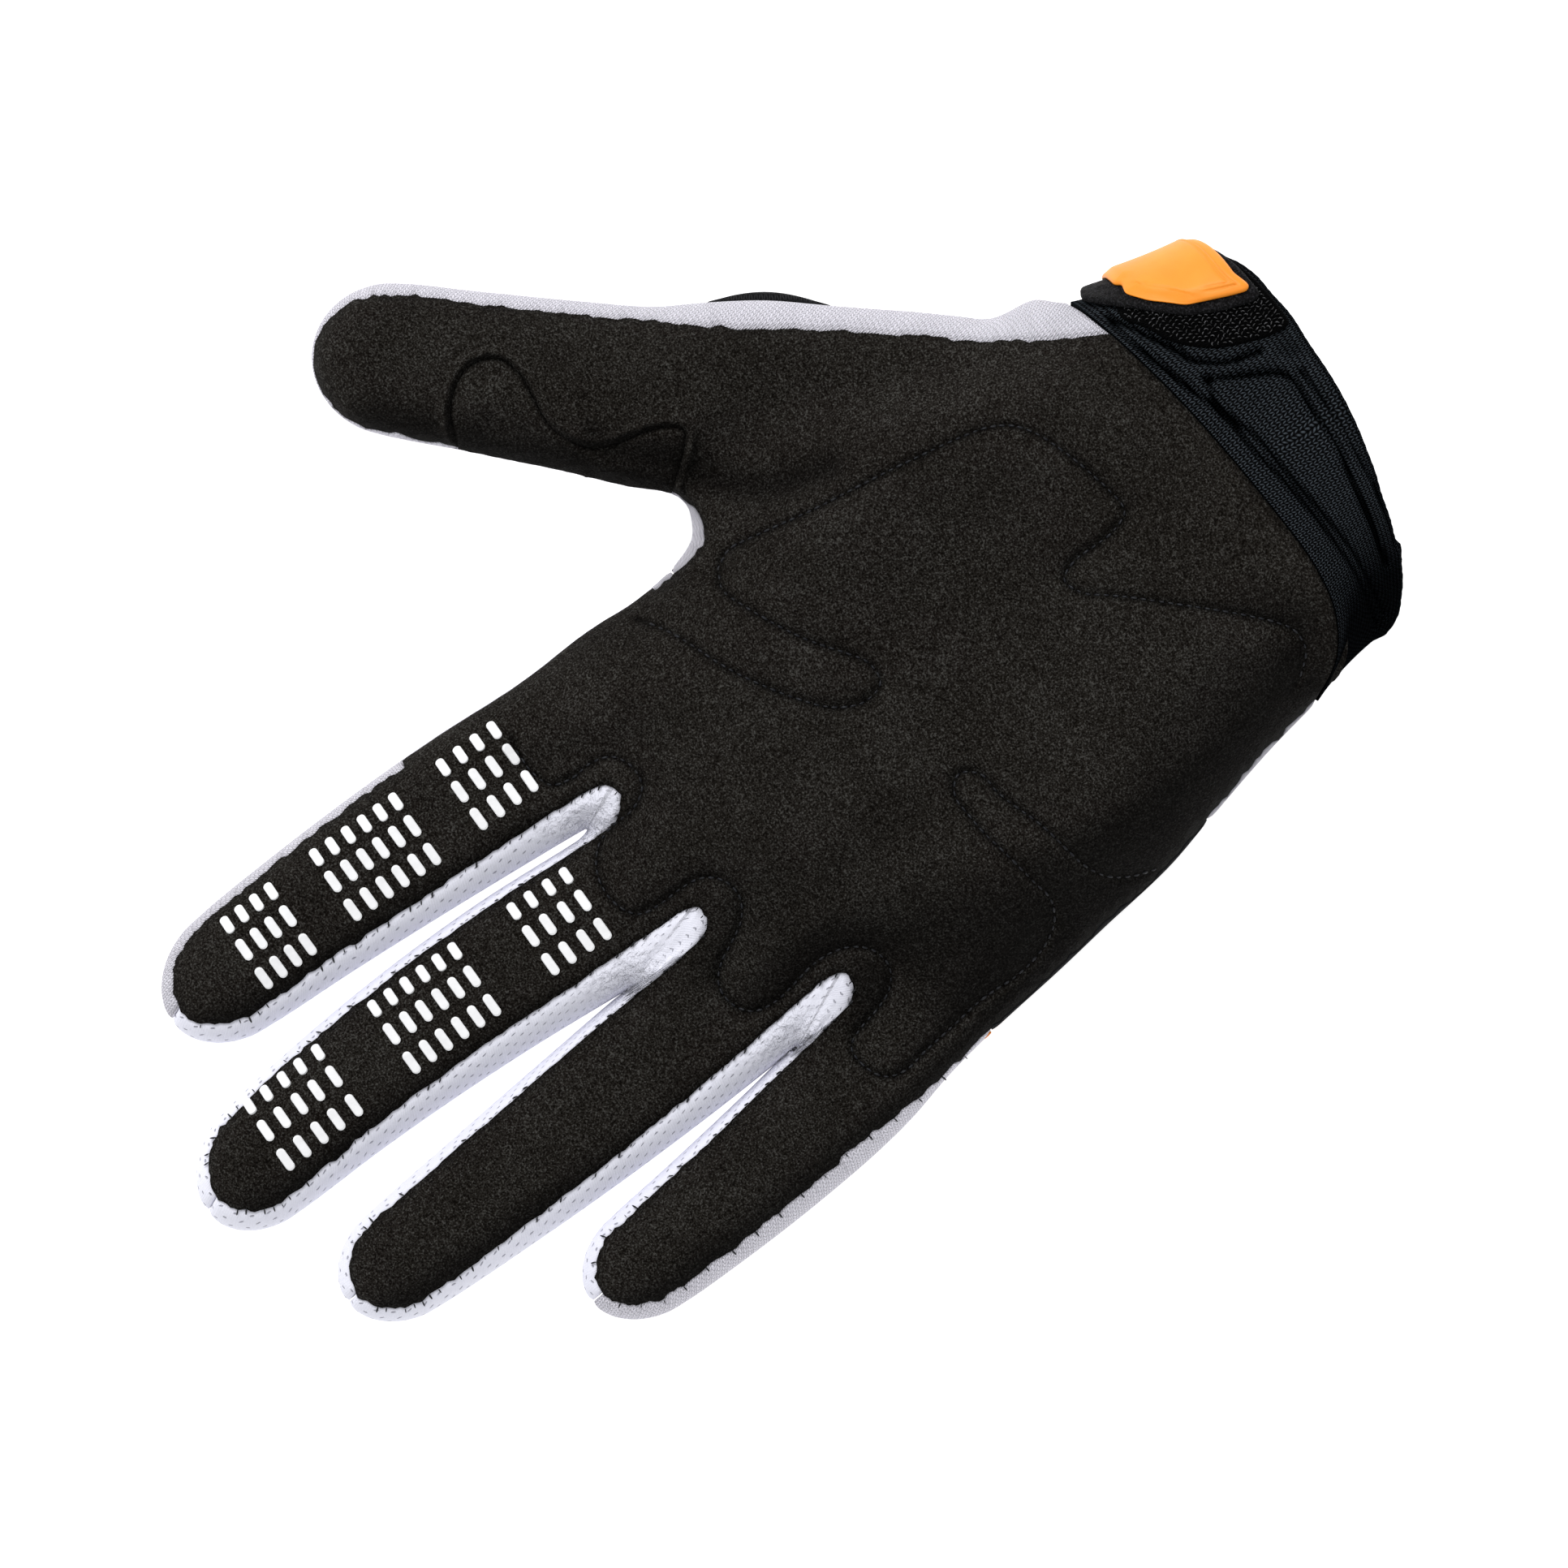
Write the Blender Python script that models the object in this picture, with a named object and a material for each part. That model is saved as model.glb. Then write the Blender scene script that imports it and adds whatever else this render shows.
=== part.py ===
"""Right-hand motocross glove, lying palm up on the back of the hand.

The hand is one thin skin: a palm sheet and a back sheet joined by rails that run round the
outline. The skin is cut along its seams into panels, and each panel becomes a solid with a wall.
+Y runs to the fingertips, +X to the thumb, +Z up out of the palm, z = 0 where the glove rests.
"""
import math
from collections import namedtuple

import bmesh
import bpy
from mathutils import Matrix, Vector
from mathutils.geometry import delaunay_2d_cdt, intersect_point_line

# ---- Driving sizes (metres) ---------------------------------------------------------------
PALM_WIDTH = 0.098          # across the knuckles, over the fabric
HAND_LENGTH = 0.209         # side of the wrist seam to the tip of the middle finger
FINGER_HEIGHT = 0.0165      # lightly filled finger, as it lies
THUMB_HEIGHT = 0.0185
PALM_HEIGHT = 0.0275
WRIST_HEIGHT = 0.0350
CUFF_LENGTH = 0.0165        # wrist seam to the mouth, along the middle of the cuff
MOUTH_WIDTH = 0.0710
MOUTH_SLOPE = 0.62          # how far the mouth leans back towards the palm side, per unit of height
MOUTH_TILT = 0.075          # how far it reaches out on the thumb side, per unit of width
SIDE_STRIP = 0.0052         # width of the knit and mesh that shows beside the palm suede
BACK_WRAP = 0.0028          # how far the side panels turn under to the back seam
SUEDE_WALL = 0.0013
KNIT_WALL = 0.0012
MESH_WALL = 0.0010
BAND_WALL = 0.0016
CUFF_WALL = 0.0026
PAD_WALL = 0.0010           # loop pad sewn on the cuff
STRAP_WALL = 0.0012         # closure strap
TAB_WALL = 0.0020           # rubber pull tab
SEAM_GAP = 0.0003           # clearance between neighbouring pieces
GRID = 0.0060               # spacing of the palm sheet's points
BACK_GRID = 0.0080

# ---- Outline: x is a share of PALM_WIDTH, y a share of HAND_LENGTH --------------------------
# Insets are shares of SIDE_STRIP, measured from the outline to the edge of the palm suede.
Digit = namedtuple("Digit", "name base_x base_y tip_x tip_y bow half_base half_tip cap taper "
                            "inset_thumb inset_thumb_tip inset_little inset_little_tip inset_tip")
DIGITS = (
    Digit("thumb", 0.614, 0.331, 1.019, 0.561, 0.000, 0.168, 0.134, 1.10, 0.6,
          0.54, 0.42, 0.02, 0.08, 0.07),
    Digit("index", 0.194, 0.545, 0.142, 0.943, 0.014, 0.139, 0.114, 1.30, 1.6,
          0.13, 0.29, 1.00, 0.63, 0.50),
    Digit("middle", -0.089, 0.580, -0.175, 0.998, 0.026, 0.135, 0.111, 1.30, 1.6,
          0.27, 0.27, 1.19, 0.63, 0.62),
    Digit("ring", -0.343, 0.580, -0.437, 0.938, -0.004, 0.132, 0.103, 1.30, 1.6,
          0.31, 0.31, 1.19, 0.50, 0.46),
    Digit("little", -0.557, 0.480, -0.656, 0.767, -0.010, 0.118, 0.099, 1.35, 1.6,
          0.25, 0.33, 0.62, 0.53, 0.54),
)
# Where each digit's two sides begin, as shares of its length from base to tip.
Start = namedtuple("Start", "side_thumb side_little palm_thumb palm_little")
STARTS = {
    "thumb": Start(0.10, 0.09, 0.10, 0.09),
    "index": Start(0.02, 0.085, 0.02, 0.015),
    "middle": Start(0.00, 0.085, -0.070, -0.093),
    "ring": Start(0.09, -0.15, -0.108, -0.320),
    "little": Start(0.14, 0.12, -0.054, 0.12),
}
# Depth of the rounded crotches below the sides' starts, as shares of SIDE_STRIP.
CROTCH_DEPTH = {"palm": (0.73, 0.73, 0.69), "side": (0.27, 0.19, 0.19), "back": (0.67, 0.67, 0.67)}
CROTCH_POINTS = 5
SIDE_POINTS = 5
CAP_ANGLES = (22, 45, 68, 90)
Edge = namedtuple("Edge", "x y inset")
THUMB_SIDE = tuple(Edge(*row) for row in (
    (0.404, 0.015, 1.21), (0.437, 0.044, 1.23), (0.469, 0.084, 0.87), (0.540, 0.131, 0.88),
    (0.613, 0.179, 0.90), (0.684, 0.225, 1.01), (0.736, 0.269, 0.86)))
WEB = tuple(Edge(*row) for row in (
    (0.478, 0.372, 0.05), (0.450, 0.366, 0.10), (0.418, 0.370, 0.35), (0.392, 0.378, 0.41),
    (0.366, 0.405, 0.23), (0.352, 0.440, 0.10), (0.349, 0.489, 0.08)))
LITTLE_SIDE = tuple(Edge(*row) for row in (
    (-0.668, 0.465, 0.40), (-0.637, 0.421, 0.12), (-0.611, 0.373, 0.10), (-0.580, 0.301, 0.09),
    (-0.555, 0.249, 0.09), (-0.524, 0.182, 0.09), (-0.489, 0.134, 0.09), (-0.438, 0.062, 0.09),
    (-0.408, 0.010, 0.09)))
WRIST_CORNER = (0.318, 0.003)   # where the palm suede, the gusset and the cuff meet

# ---- Seams drawn across the sheets, in the same shares -------------------------------------
WRIST_SEAM_PALM = ((-0.361, -0.017), (-0.291, -0.035), (-0.209, -0.040), (-0.073, -0.034),
                   (0.124, -0.019), (0.270, -0.003))
WRIST_SEAM_BACK = ((0.270, 0.034), (0.100, 0.045), (-0.100, 0.045), (-0.290, 0.026))
THUMB_PATCH_SEAM = ((0.821, 0.480), (0.842, 0.448), (0.790, 0.428), (0.687, 0.429),
                    (0.612, 0.408), (0.589, 0.363), (0.550, 0.337))
THUMB_BACK_SEAM = ((0.440, 0.310), (0.520, 0.265), (0.620, 0.255))
BAND_TOP_SEAM = ((-0.420, 0.398), (-0.150, 0.425), (0.150, 0.415), (0.290, 0.400))
BAND_LOW_SEAM = ((0.420, 0.150), (0.150, 0.118), (-0.200, 0.112), (-0.380, 0.120))

# ---- Heights: each zone's values, blended over the hand ------------------------------------
# side is the height of the outline as a share of the zone's height, roll and under the widths of
# the rounded edge above and below it as shares of PALM_WIDTH.
Zone = namedtuple("Zone", "height side roll under")
FINGERS = Zone(FINGER_HEIGHT, 0.48, 0.100, 0.066)
THUMB = Zone(THUMB_HEIGHT, 0.48, 0.115, 0.072)
PALM = Zone(PALM_HEIGHT, 0.46, 0.245, 0.120)
WRIST = Zone(WRIST_HEIGHT, 0.48, 0.300, 0.160)
PALM_CORE = (-0.040, 0.145, 0.450, 0.373)    # centre x, y and semi-axes of the filled palm
CORE_FADE = (0.75, 1.35)                     # shares of the core's radius
WRIST_FADE = 0.30                            # share of HAND_LENGTH over which the wrist fades in
THUMB_FADE = (0.40, 0.60)
# Hollows and mounds of the filled palm: centre, radius (share of PALM_WIDTH), rise (share of
# PALM_HEIGHT).
Mound = namedtuple("Mound", "x y radius rise")
MOUNDS = tuple(Mound(*row) for row in (
    (0.427, 0.322, 0.095, -0.090), (0.000, 0.210, 0.210, -0.090), (0.300, 0.170, 0.180, 0.060),
    (-0.240, 0.100, 0.180, 0.050), (-0.330, 0.480, 0.110, 0.035), (-0.080, 0.500, 0.120, 0.035),
    (0.180, 0.490, 0.110, 0.030)))

# ---- Cuff and closure ----------------------------------------------------------------------
CUFF_RINGS = 6
CUFF_BULGE = 0.0004
MOUTH_POWER = 0.85
MOUTH_LIFT = 0.03           # lift of the mouth's lowest point, share of WRIST_HEIGHT
# Closure pieces wrapped on the cuff: column counted from the thumb side's middle (positive
# towards the back), and the stretch covered from the seam (0) to the mouth (1).
Wrap = namedtuple("Wrap", "column start end")
LOOP_PAD = tuple(Wrap(*row) for row in (
    (-5, 0.66, 0.90), (-4, 0.44, 0.95), (-3, 0.33, 0.95), (-2, 0.30, 0.95), (-1, 0.28, 0.95),
    (0, 0.26, 0.95), (1, 0.30, 0.90)))
STRAP = tuple(Wrap(*row) for row in (
    (-4, 0.70, 0.92), (-3, 0.46, 0.97), (-2, 0.38, 0.97), (-1, 0.34, 0.97), (0, 0.33, 0.97),
    (1, 0.36, 0.92)))
PULL_TAB = tuple(Wrap(*row) for row in (
    (-3, 0.62, 0.94), (-2, 0.50, 1.00), (-1, 0.44, 1.00), (0, 0.40, 1.00), (1, 0.44, 0.94)))
WRAP_POINTS = 4

# ---- Finishes: colour, roughness, metallic --------------------------------------------------
SUEDE = ("black_suede", (0.020, 0.018, 0.015), 0.92, 0.0)
WHITE_KNIT = ("white_knit", (0.78, 0.79, 0.84), 0.85, 0.0)
WHITE_MESH = ("white_mesh", (0.74, 0.75, 0.80), 0.85, 0.0)
STRETCH = ("black_stretch", (0.012, 0.015, 0.022), 0.75, 0.0)
CUFF_KNIT = ("cuff_knit", (0.010, 0.012, 0.018), 0.80, 0.0)
LOOP_FABRIC = ("loop_fabric", (0.006, 0.007, 0.009), 0.85, 0.0)
FELT = ("strap_felt", (0.008, 0.008, 0.009), 0.90, 0.0)
RUBBER = ("orange_rubber", (0.95, 0.36, 0.055), 0.45, 0.0)


# ---- Small helpers --------------------------------------------------------------------------
def at(x, y):
    """The point on the plan at shares x of the palm's width and y of the hand's length."""
    return Vector((x * PALM_WIDTH, y * HAND_LENGTH))


def mix(a, b, t):
    return a + (b - a) * t


def smooth(t):
    t = min(max(t, 0.0), 1.0)
    return t * t * (3.0 - 2.0 * t)


def bulge(t):
    """Quarter circle that rises from 0 at t = 0 to 1 at t = 1."""
    t = min(max(t, 0.0), 1.0)
    return math.sqrt(1.0 - (1.0 - t) ** 2)


def through(points, count):
    """count points spaced evenly between the ends of a smooth curve through the given points."""
    ends = [2 * points[0] - points[1]] + list(points) + [2 * points[-1] - points[-2]]
    fine = []
    for a, b, c, d in zip(ends, ends[1:], ends[2:], ends[3:]):
        for step in range(12):
            t = step / 12
            fine.append(0.5 * (2 * b + (c - a) * t + (2 * a - 5 * b + 4 * c - d) * t * t
                               + (3 * b - a - 3 * c + d) * t ** 3))
    fine.append(points[-1])
    reach = [0.0]
    for a, b in zip(fine, fine[1:]):
        reach.append(reach[-1] + (b - a).length)
    result = []
    for i in range(1, count + 1):
        goal = reach[-1] * i / (count + 1)
        j = next(k for k, r in enumerate(reach) if r >= goal)
        share = (goal - reach[j - 1]) / (reach[j] - reach[j - 1])
        result.append(fine[j - 1].lerp(fine[j], share))
    return result


def inside(point, polygon):
    hit = False
    for a, b in zip(polygon, polygon[1:] + polygon[:1]):
        if (a.y > point.y) != (b.y > point.y):
            if point.x < a.x + (point.y - a.y) * (b.x - a.x) / (b.y - a.y):
                hit = not hit
    return hit


# ---- Outline rails ---------------------------------------------------------------------------
def insets(digit, rail):
    if rail == "palm":
        return [s * SIDE_STRIP for s in digit[10:]]
    return [BACK_WRAP] * 5 if rail == "back" else [0.0] * 5


def digit_sides(digit, rail):
    """Points up the digit's thumb side and over its tip, and up its other side, from the base."""
    thumb_low, thumb_high, little_low, little_high, inset_tip = insets(digit, rail)
    start = STARTS[digit.name]
    begin_thumb = start.palm_thumb if rail == "palm" else start.side_thumb
    begin_little = start.palm_little if rail == "palm" else start.side_little
    base, tip = at(digit.base_x, digit.base_y), at(digit.tip_x, digit.tip_y)
    length = (tip - base).length
    axis = (tip - base) / length
    side = Vector((axis.y, -axis.x))
    half_tip = digit.half_tip * PALM_WIDTH
    cap = digit.cap * half_tip
    shoulder = 1.0 - cap / length

    def centre(u):
        return base + axis * (u * length) + side * (digit.bow * PALM_WIDTH * max(4 * u * (1 - u), 0))

    def half(u):
        t = min(max(u / shoulder, 0.0), 1.0) ** digit.taper
        return mix(digit.half_base, digit.half_tip, t) * PALM_WIDTH

    up, down = [], []
    for i in range(SIDE_POINTS):
        t = i / (SIDE_POINTS - 1)
        u = mix(begin_thumb, shoulder, t)
        up.append(centre(u) + side * (half(u) - mix(thumb_low, thumb_high, t)))
        u = mix(begin_little, shoulder, t)
        down.append(centre(u) - side * (half(u) - mix(little_low, little_high, t)))
    cap_half = half_tip - (thumb_high + little_high) / 2
    shift = side * ((little_high - thumb_high) / 2)
    for angle in CAP_ANGLES:
        a = math.radians(angle)
        middle = centre(shoulder + (cap - inset_tip) / length * math.sin(a)) + shift
        up.append(middle + side * (cap_half * math.cos(a)))
        if angle < 90:
            down.append(middle - side * (cap_half * math.cos(a)))
    return up, down


def edge_points(rows, rail):
    """A stretch of the hand's edge, moved inwards for the palm and back rails."""
    points = [at(row.x, row.y) for row in rows]
    moved = []
    for i, (row, point) in enumerate(zip(rows, points)):
        along = (points[min(i + 1, len(points) - 1)] - points[max(i - 1, 0)]).normalized()
        inset = {"palm": row.inset * SIDE_STRIP, "back": BACK_WRAP, "side": 0.0}[rail]
        moved.append(point + Vector((-along.y, along.x)) * inset)
    return moved


def crotch(a, b, depth):
    middle, arm = (a + b) / 2, (a - b) / 2
    turn = [math.pi * i / (CROTCH_POINTS + 1) for i in range(1, CROTCH_POINTS + 1)]
    return [middle + arm * math.cos(t) - Vector((0, depth * math.sin(t))) for t in turn]


def rail_points(rail):
    """One rail round the hand from the thumb side of the wrist to the other, with station names."""
    points, names = [], []

    def add(name, stretch):
        points.extend(stretch)
        names.extend((name, i) for i in range(len(stretch)))

    sides = {digit.name: digit_sides(digit, rail) for digit in DIGITS}
    add("thumb_side", edge_points(THUMB_SIDE, rail))
    add("thumb", sides["thumb"][0] + sides["thumb"][1][::-1])
    add("web", edge_points(WEB, rail))
    add("index", sides["index"][0] + sides["index"][1][::-1])
    for name, depth in zip(("middle", "ring", "little"), CROTCH_DEPTH[rail]):
        up, down = sides[name]
        add("crotch_" + name, crotch(points[-1], up[0], depth * SIDE_STRIP))
        add(name, up + down[::-1])
    add("little_side", edge_points(LITTLE_SIDE, rail))
    if rail == "palm":
        points[0] = at(*WRIST_CORNER)
    return points, names


# ---- Heights ----------------------------------------------------------------------------------
class Relief:
    """Height of the palm and back sheets above the plan of the hand."""

    def __init__(self, outline):
        self.outline = outline

    def edge_distance(self, point):
        best = 1.0
        for a, b in zip(self.outline, self.outline[1:]):
            foot, share = intersect_point_line(point, a, b)
            foot = a.lerp(b, min(max(share, 0.0), 1.0))
            best = min(best, (foot - point).length)
        return best

    def zone(self, point):
        x, y = point.x / PALM_WIDTH, point.y / HAND_LENGTH
        cx, cy, rx, ry = PALM_CORE
        radius = math.hypot((x - cx) / rx, (y - cy) / ry)
        wrist = smooth((WRIST_FADE - y) / WRIST_FADE)
        core = max(smooth((CORE_FADE[1] - radius) / (CORE_FADE[1] - CORE_FADE[0])), wrist)
        thumb = smooth((x - THUMB_FADE[0]) / (THUMB_FADE[1] - THUMB_FADE[0]))
        return Zone(*(mix(mix(f, t, thumb), mix(p, w, wrist), core)
                      for f, t, p, w in zip(FINGERS, THUMB, PALM, WRIST)))

    def top(self, point):
        zone, d = self.zone(point), self.edge_distance(point)
        rise = bulge(d / (zone.roll * PALM_WIDTH))
        mounds = 0.0
        for m in MOUNDS:
            away = (point - at(m.x, m.y)).length / (m.radius * PALM_WIDTH)
            mounds += m.rise * PALM_HEIGHT * math.exp(-away * away)
        return zone.height * mix(zone.side, 1.0, rise) + mounds * rise

    def under(self, point):
        zone, d = self.zone(point), self.edge_distance(point)
        return zone.height * zone.side * (1.0 - bulge(d / (zone.under * PALM_WIDTH)))

    def shoulder(self, edge, inner):
        """The point between the outline and the palm rail that is half way up the rounded edge."""
        zone = self.zone(inner)
        reach = min(self.edge_distance(inner) / (zone.roll * PALM_WIDTH), 1.0)
        angle = math.acos(1.0 - reach)
        return edge.lerp(inner, (1 - math.cos(angle / 2)) / max(1 - math.cos(angle), 1e-6))


# ---- The skin -----------------------------------------------------------------------------------
class Skin:
    """Triangles of the whole hand, each with the name of the panel that it belongs to."""

    def __init__(self):
        self.points, self.faces, self.panels = [], [], []

    def add_point(self, plan, height):
        self.points.append(Vector((plan.x, plan.y, height)))
        return len(self.points) - 1

    def add_face(self, corners, panel):
        self.faces.append(corners)
        self.panels.append(panel)

    def add_strip(self, a, b, panel_of):
        """Two triangles for each step between rails a and b; panel_of(i) names their panel."""
        for i in range(len(a) - 1):
            p, q, r, s = a[i], b[i], b[i + 1], a[i + 1]
            short = (self.points[p] - self.points[r]).length < (self.points[q] - self.points[s]).length
            pair = ((p, q, r), (p, r, s)) if short else ((p, q, s), (q, r, s))
            for corners in pair:
                self.add_face(corners, panel_of(i))

    def add_sheet(self, loop, seams, spacing, height, panel_of, flip):
        """Fill the loop with an even triangle grid that keeps to the seams."""
        index = list(loop)
        edges = list(zip(range(len(loop)), [*range(1, len(loop)), 0]))
        order = {vertex: i for i, vertex in enumerate(loop)}
        for seam in seams:
            for vertex in seam[1:-1]:
                order[vertex] = len(index)
                index.append(vertex)
            edges += [(order[a], order[b]) for a, b in zip(seam, seam[1:])]
        plan = [self.points[i].xy for i in index]
        border = plan[:len(loop)]
        segments = [(plan[a], plan[b]) for a, b in edges]
        low = Vector((min(p.x for p in border), min(p.y for p in border)))
        high = Vector((max(p.x for p in border), max(p.y for p in border)))
        rows = int((high.y - low.y) / (spacing * 0.866)) + 1
        columns = int((high.x - low.x) / spacing) + 2
        for row in range(rows):
            for column in range(columns):
                spot = low + Vector(((column - 0.5 * (row % 2)) * spacing, row * spacing * 0.866))
                if inside(spot, border) and all(clear(spot, a, b, spacing * 0.5) for a, b in segments):
                    index.append(self.add_point(spot, height(spot)))
                    plan.append(spot)
        spots, _, triangles, origins = delaunay_2d_cdt(plan, edges, [], 1, 1e-7)[:4]
        number = [index[origin[0]] if origin else self.add_point(spot, height(spot))
                  for spot, origin in zip(spots, origins)]
        for triangle in triangles:
            corners = [number[i] for i in triangle]
            centre = sum((spots[i] for i in triangle), Vector((0, 0))) / 3
            self.add_face(corners[::-1] if flip else corners, panel_of(centre))


def clear(spot, a, b, distance):
    foot, share = intersect_point_line(spot, a, b)
    return (a.lerp(b, min(max(share, 0.0), 1.0)) - spot).length > distance


def seam_vertices(skin, height, start, rows, end, spacing):
    """A seam line from one existing vertex to another, through the given shares."""
    ends = skin.points[start].xy, skin.points[end].xy
    way = [ends[0]] + [at(x, y) for x, y in rows] + [ends[1]]
    length = sum((b - a).length for a, b in zip(way, way[1:]))
    steps = max(round(length / spacing), len(rows)) - 1
    return [start] + [skin.add_point(p, height(p)) for p in through(way, steps)] + [end]


def build_skin():
    palm, names = rail_points("palm")
    side, _ = rail_points("side")
    back, _ = rail_points("back")
    relief = Relief(side)
    station = {name: i for i, name in enumerate(names)}
    skin = Skin()
    palm_rail = [skin.add_point(p, relief.top(p)) for p in palm]
    shoulders = [relief.shoulder(s, p) for s, p in zip(side, palm)]
    shoulder_rail = [skin.add_point(p, relief.top(p)) for p in shoulders]
    side_rail = [skin.add_point(p, relief.top(p)) for p in side]
    back_rail = [skin.add_point(p, relief.under(p)) for p in back]

    # Stations where the back's seams meet the outline.
    tip = SIDE_POINTS + len(CAP_ANGLES) - 1
    apex = {name: station[(name, tip)] for name in ("thumb", "index", "middle", "ring", "little")}
    web_low, web_high = station[("web", 2)], station[("web", 4)]
    band_low_thumb, thumb_low = station[("thumb_side", 4)], station[("thumb_side", 6)]
    band_top, band_low = station[("little_side", 2)], station[("little_side", 6)]
    last = len(names) - 1

    wrist_palm = seam_vertices(skin, relief.top, palm_rail[last], WRIST_SEAM_PALM, palm_rail[0], GRID)
    wrist_back = seam_vertices(skin, relief.under, back_rail[0], WRIST_SEAM_BACK, back_rail[last],
                               BACK_GRID)
    patch_top = station[("thumb", 2 * SIDE_POINTS + 2 * len(CAP_ANGLES) - 3)]
    patch_low = station[("web", 0)]
    patch_seam = seam_vertices(skin, relief.top, palm_rail[patch_top], THUMB_PATCH_SEAM,
                               palm_rail[patch_low], GRID)
    thumb_seam = seam_vertices(skin, relief.under, back_rail[web_low], THUMB_BACK_SEAM,
                               back_rail[thumb_low], BACK_GRID)
    top_seam = seam_vertices(skin, relief.under, back_rail[band_top], BAND_TOP_SEAM,
                             back_rail[web_high], BACK_GRID)
    low_seam = seam_vertices(skin, relief.under, back_rail[band_low_thumb], BAND_LOW_SEAM,
                             back_rail[band_low], BACK_GRID)

    def outline_of(*stretches):
        return [skin.points[i].xy for stretch in stretches for i in stretch]

    patch = outline_of(palm_rail[patch_top:patch_low + 1], patch_seam[-2:0:-1])
    thumb_back = outline_of(back_rail[thumb_low:web_low + 1], thumb_seam[1:-1])
    finger_backs = outline_of(back_rail[web_high:band_top + 1], top_seam[1:-1])
    wrist_part = outline_of(back_rail[band_low:], wrist_back[-2:0:-1],
                            back_rail[:band_low_thumb + 1], low_seam[1:-1])

    def palm_panel_at(spot):
        return "thumb_patch" if inside(spot, patch) else "palm_panel"

    def back_panel_at(spot):
        for name, outline in (("thumb_back", thumb_back), ("back_panel", finger_backs),
                              ("wrist_panel", wrist_part)):
            if inside(spot, outline):
                return name
        return "back_band"

    def back_panel_beside(i):
        for low, high, name in ((apex["index"], apex["middle"], "fourchette_index_middle"),
                                (apex["middle"], apex["ring"], "fourchette_middle_ring"),
                                (apex["ring"], apex["little"], "fourchette_ring_little"),
                                (thumb_low, web_low, "thumb_back"),
                                (web_high, band_top, "back_panel"),
                                (0, band_low_thumb, "wrist_panel"),
                                (band_low, last, "wrist_panel")):
            if low <= i < high:
                return name
        return "back_band"

    def side_panel_beside(i):
        return "thumb_gusset" if i < web_high else back_panel_beside(i)

    skin.add_sheet(palm_rail + wrist_palm[1:-1], [patch_seam], GRID, relief.top, palm_panel_at, False)
    skin.add_strip(palm_rail, shoulder_rail, side_panel_beside)
    skin.add_strip(shoulder_rail, side_rail, side_panel_beside)
    skin.add_strip(side_rail, back_rail, back_panel_beside)
    skin.add_sheet(back_rail + wrist_back[-2:0:-1], [thumb_seam, top_seam, low_seam], BACK_GRID,
                   relief.under, back_panel_at, True)
    thumb_end = [palm_rail[0], shoulder_rail[0], side_rail[0], back_rail[0]]
    little_end = [back_rail[last], side_rail[last], shoulder_rail[last], palm_rail[last]]
    wrist_loop = wrist_palm[1:-1] + thumb_end + wrist_back[1:-1] + little_end
    return skin, wrist_loop, wrist_loop.index(side_rail[0])


# ---- Solids -------------------------------------------------------------------------------------
def add_object(name, points, faces, finish):
    mesh = bpy.data.meshes.new(name)
    mesh.from_pydata([tuple(p) for p in points], [], faces)
    mesh.shade_smooth()
    mesh.set_sharp_from_angle(angle=math.radians(40))
    label, colour, roughness, metallic = finish
    material = bpy.data.materials.get(label)
    if material is None:
        material = bpy.data.materials.new(label)
        material.use_nodes = True
        shader = material.node_tree.nodes["Principled BSDF"]
        shader.inputs["Base Color"].default_value = (*colour, 1.0)
        shader.inputs["Roughness"].default_value = roughness
        shader.inputs["Metallic"].default_value = metallic
    mesh.materials.append(material)
    piece = bpy.data.objects.new(name, mesh)
    bpy.context.collection.objects.link(piece)
    return piece


def corner_normals(points, faces):
    """Smooth outward direction at each point."""
    mesh = bmesh.new()
    vertices = [mesh.verts.new(p) for p in points]
    for face in faces:
        mesh.faces.new([vertices[i] for i in face])
    mesh.normal_update()
    normals = [v.normal.copy() for v in vertices]
    mesh.free()
    return normals


def border_edges(faces):
    directed = {(a, b) for face in faces for a, b in zip(face, face[1:] + face[:1])}
    return [(a, b) for a, b in directed if (b, a) not in directed]


def panel_solid(name, skin, normals, wall, finish):
    """The panel's share of the skin as a solid, drawn back half a gap from its seams."""
    faces = [list(f) for f, panel in zip(skin.faces, skin.panels) if panel == name]
    used = sorted({i for face in faces for i in face})
    place = {old: new for new, old in enumerate(used)}
    faces = [[place[i] for i in face] for face in faces]
    outer = [skin.points[i].copy() for i in used]
    directions = [normals[i] for i in used]
    border = sorted(border_edges(faces))
    pulls = {}
    for a, b in border:
        pull = (directions[a] + directions[b]).cross(outer[b] - outer[a]).normalized()
        for end in (a, b):
            pulls.setdefault(end, []).append(pull)
    for i, pair in pulls.items():
        miter = sum(pair, Vector()) / max(1.0 + pair[0].dot(pair[-1]), 0.5)
        miter -= directions[i] * miter.dot(directions[i])
        outer[i] += miter * (SEAM_GAP / 2)
        outer[i].z = max(outer[i].z, 0.0)
    inner = [p - n * wall for p, n in zip(outer, directions)]
    count = len(outer)
    solid = faces + [[i + count for i in face[::-1]] for face in faces]
    solid += [[b, a, a + count, b + count] for a, b in border]
    return add_object(name, outer + inner, solid, finish)


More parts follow.
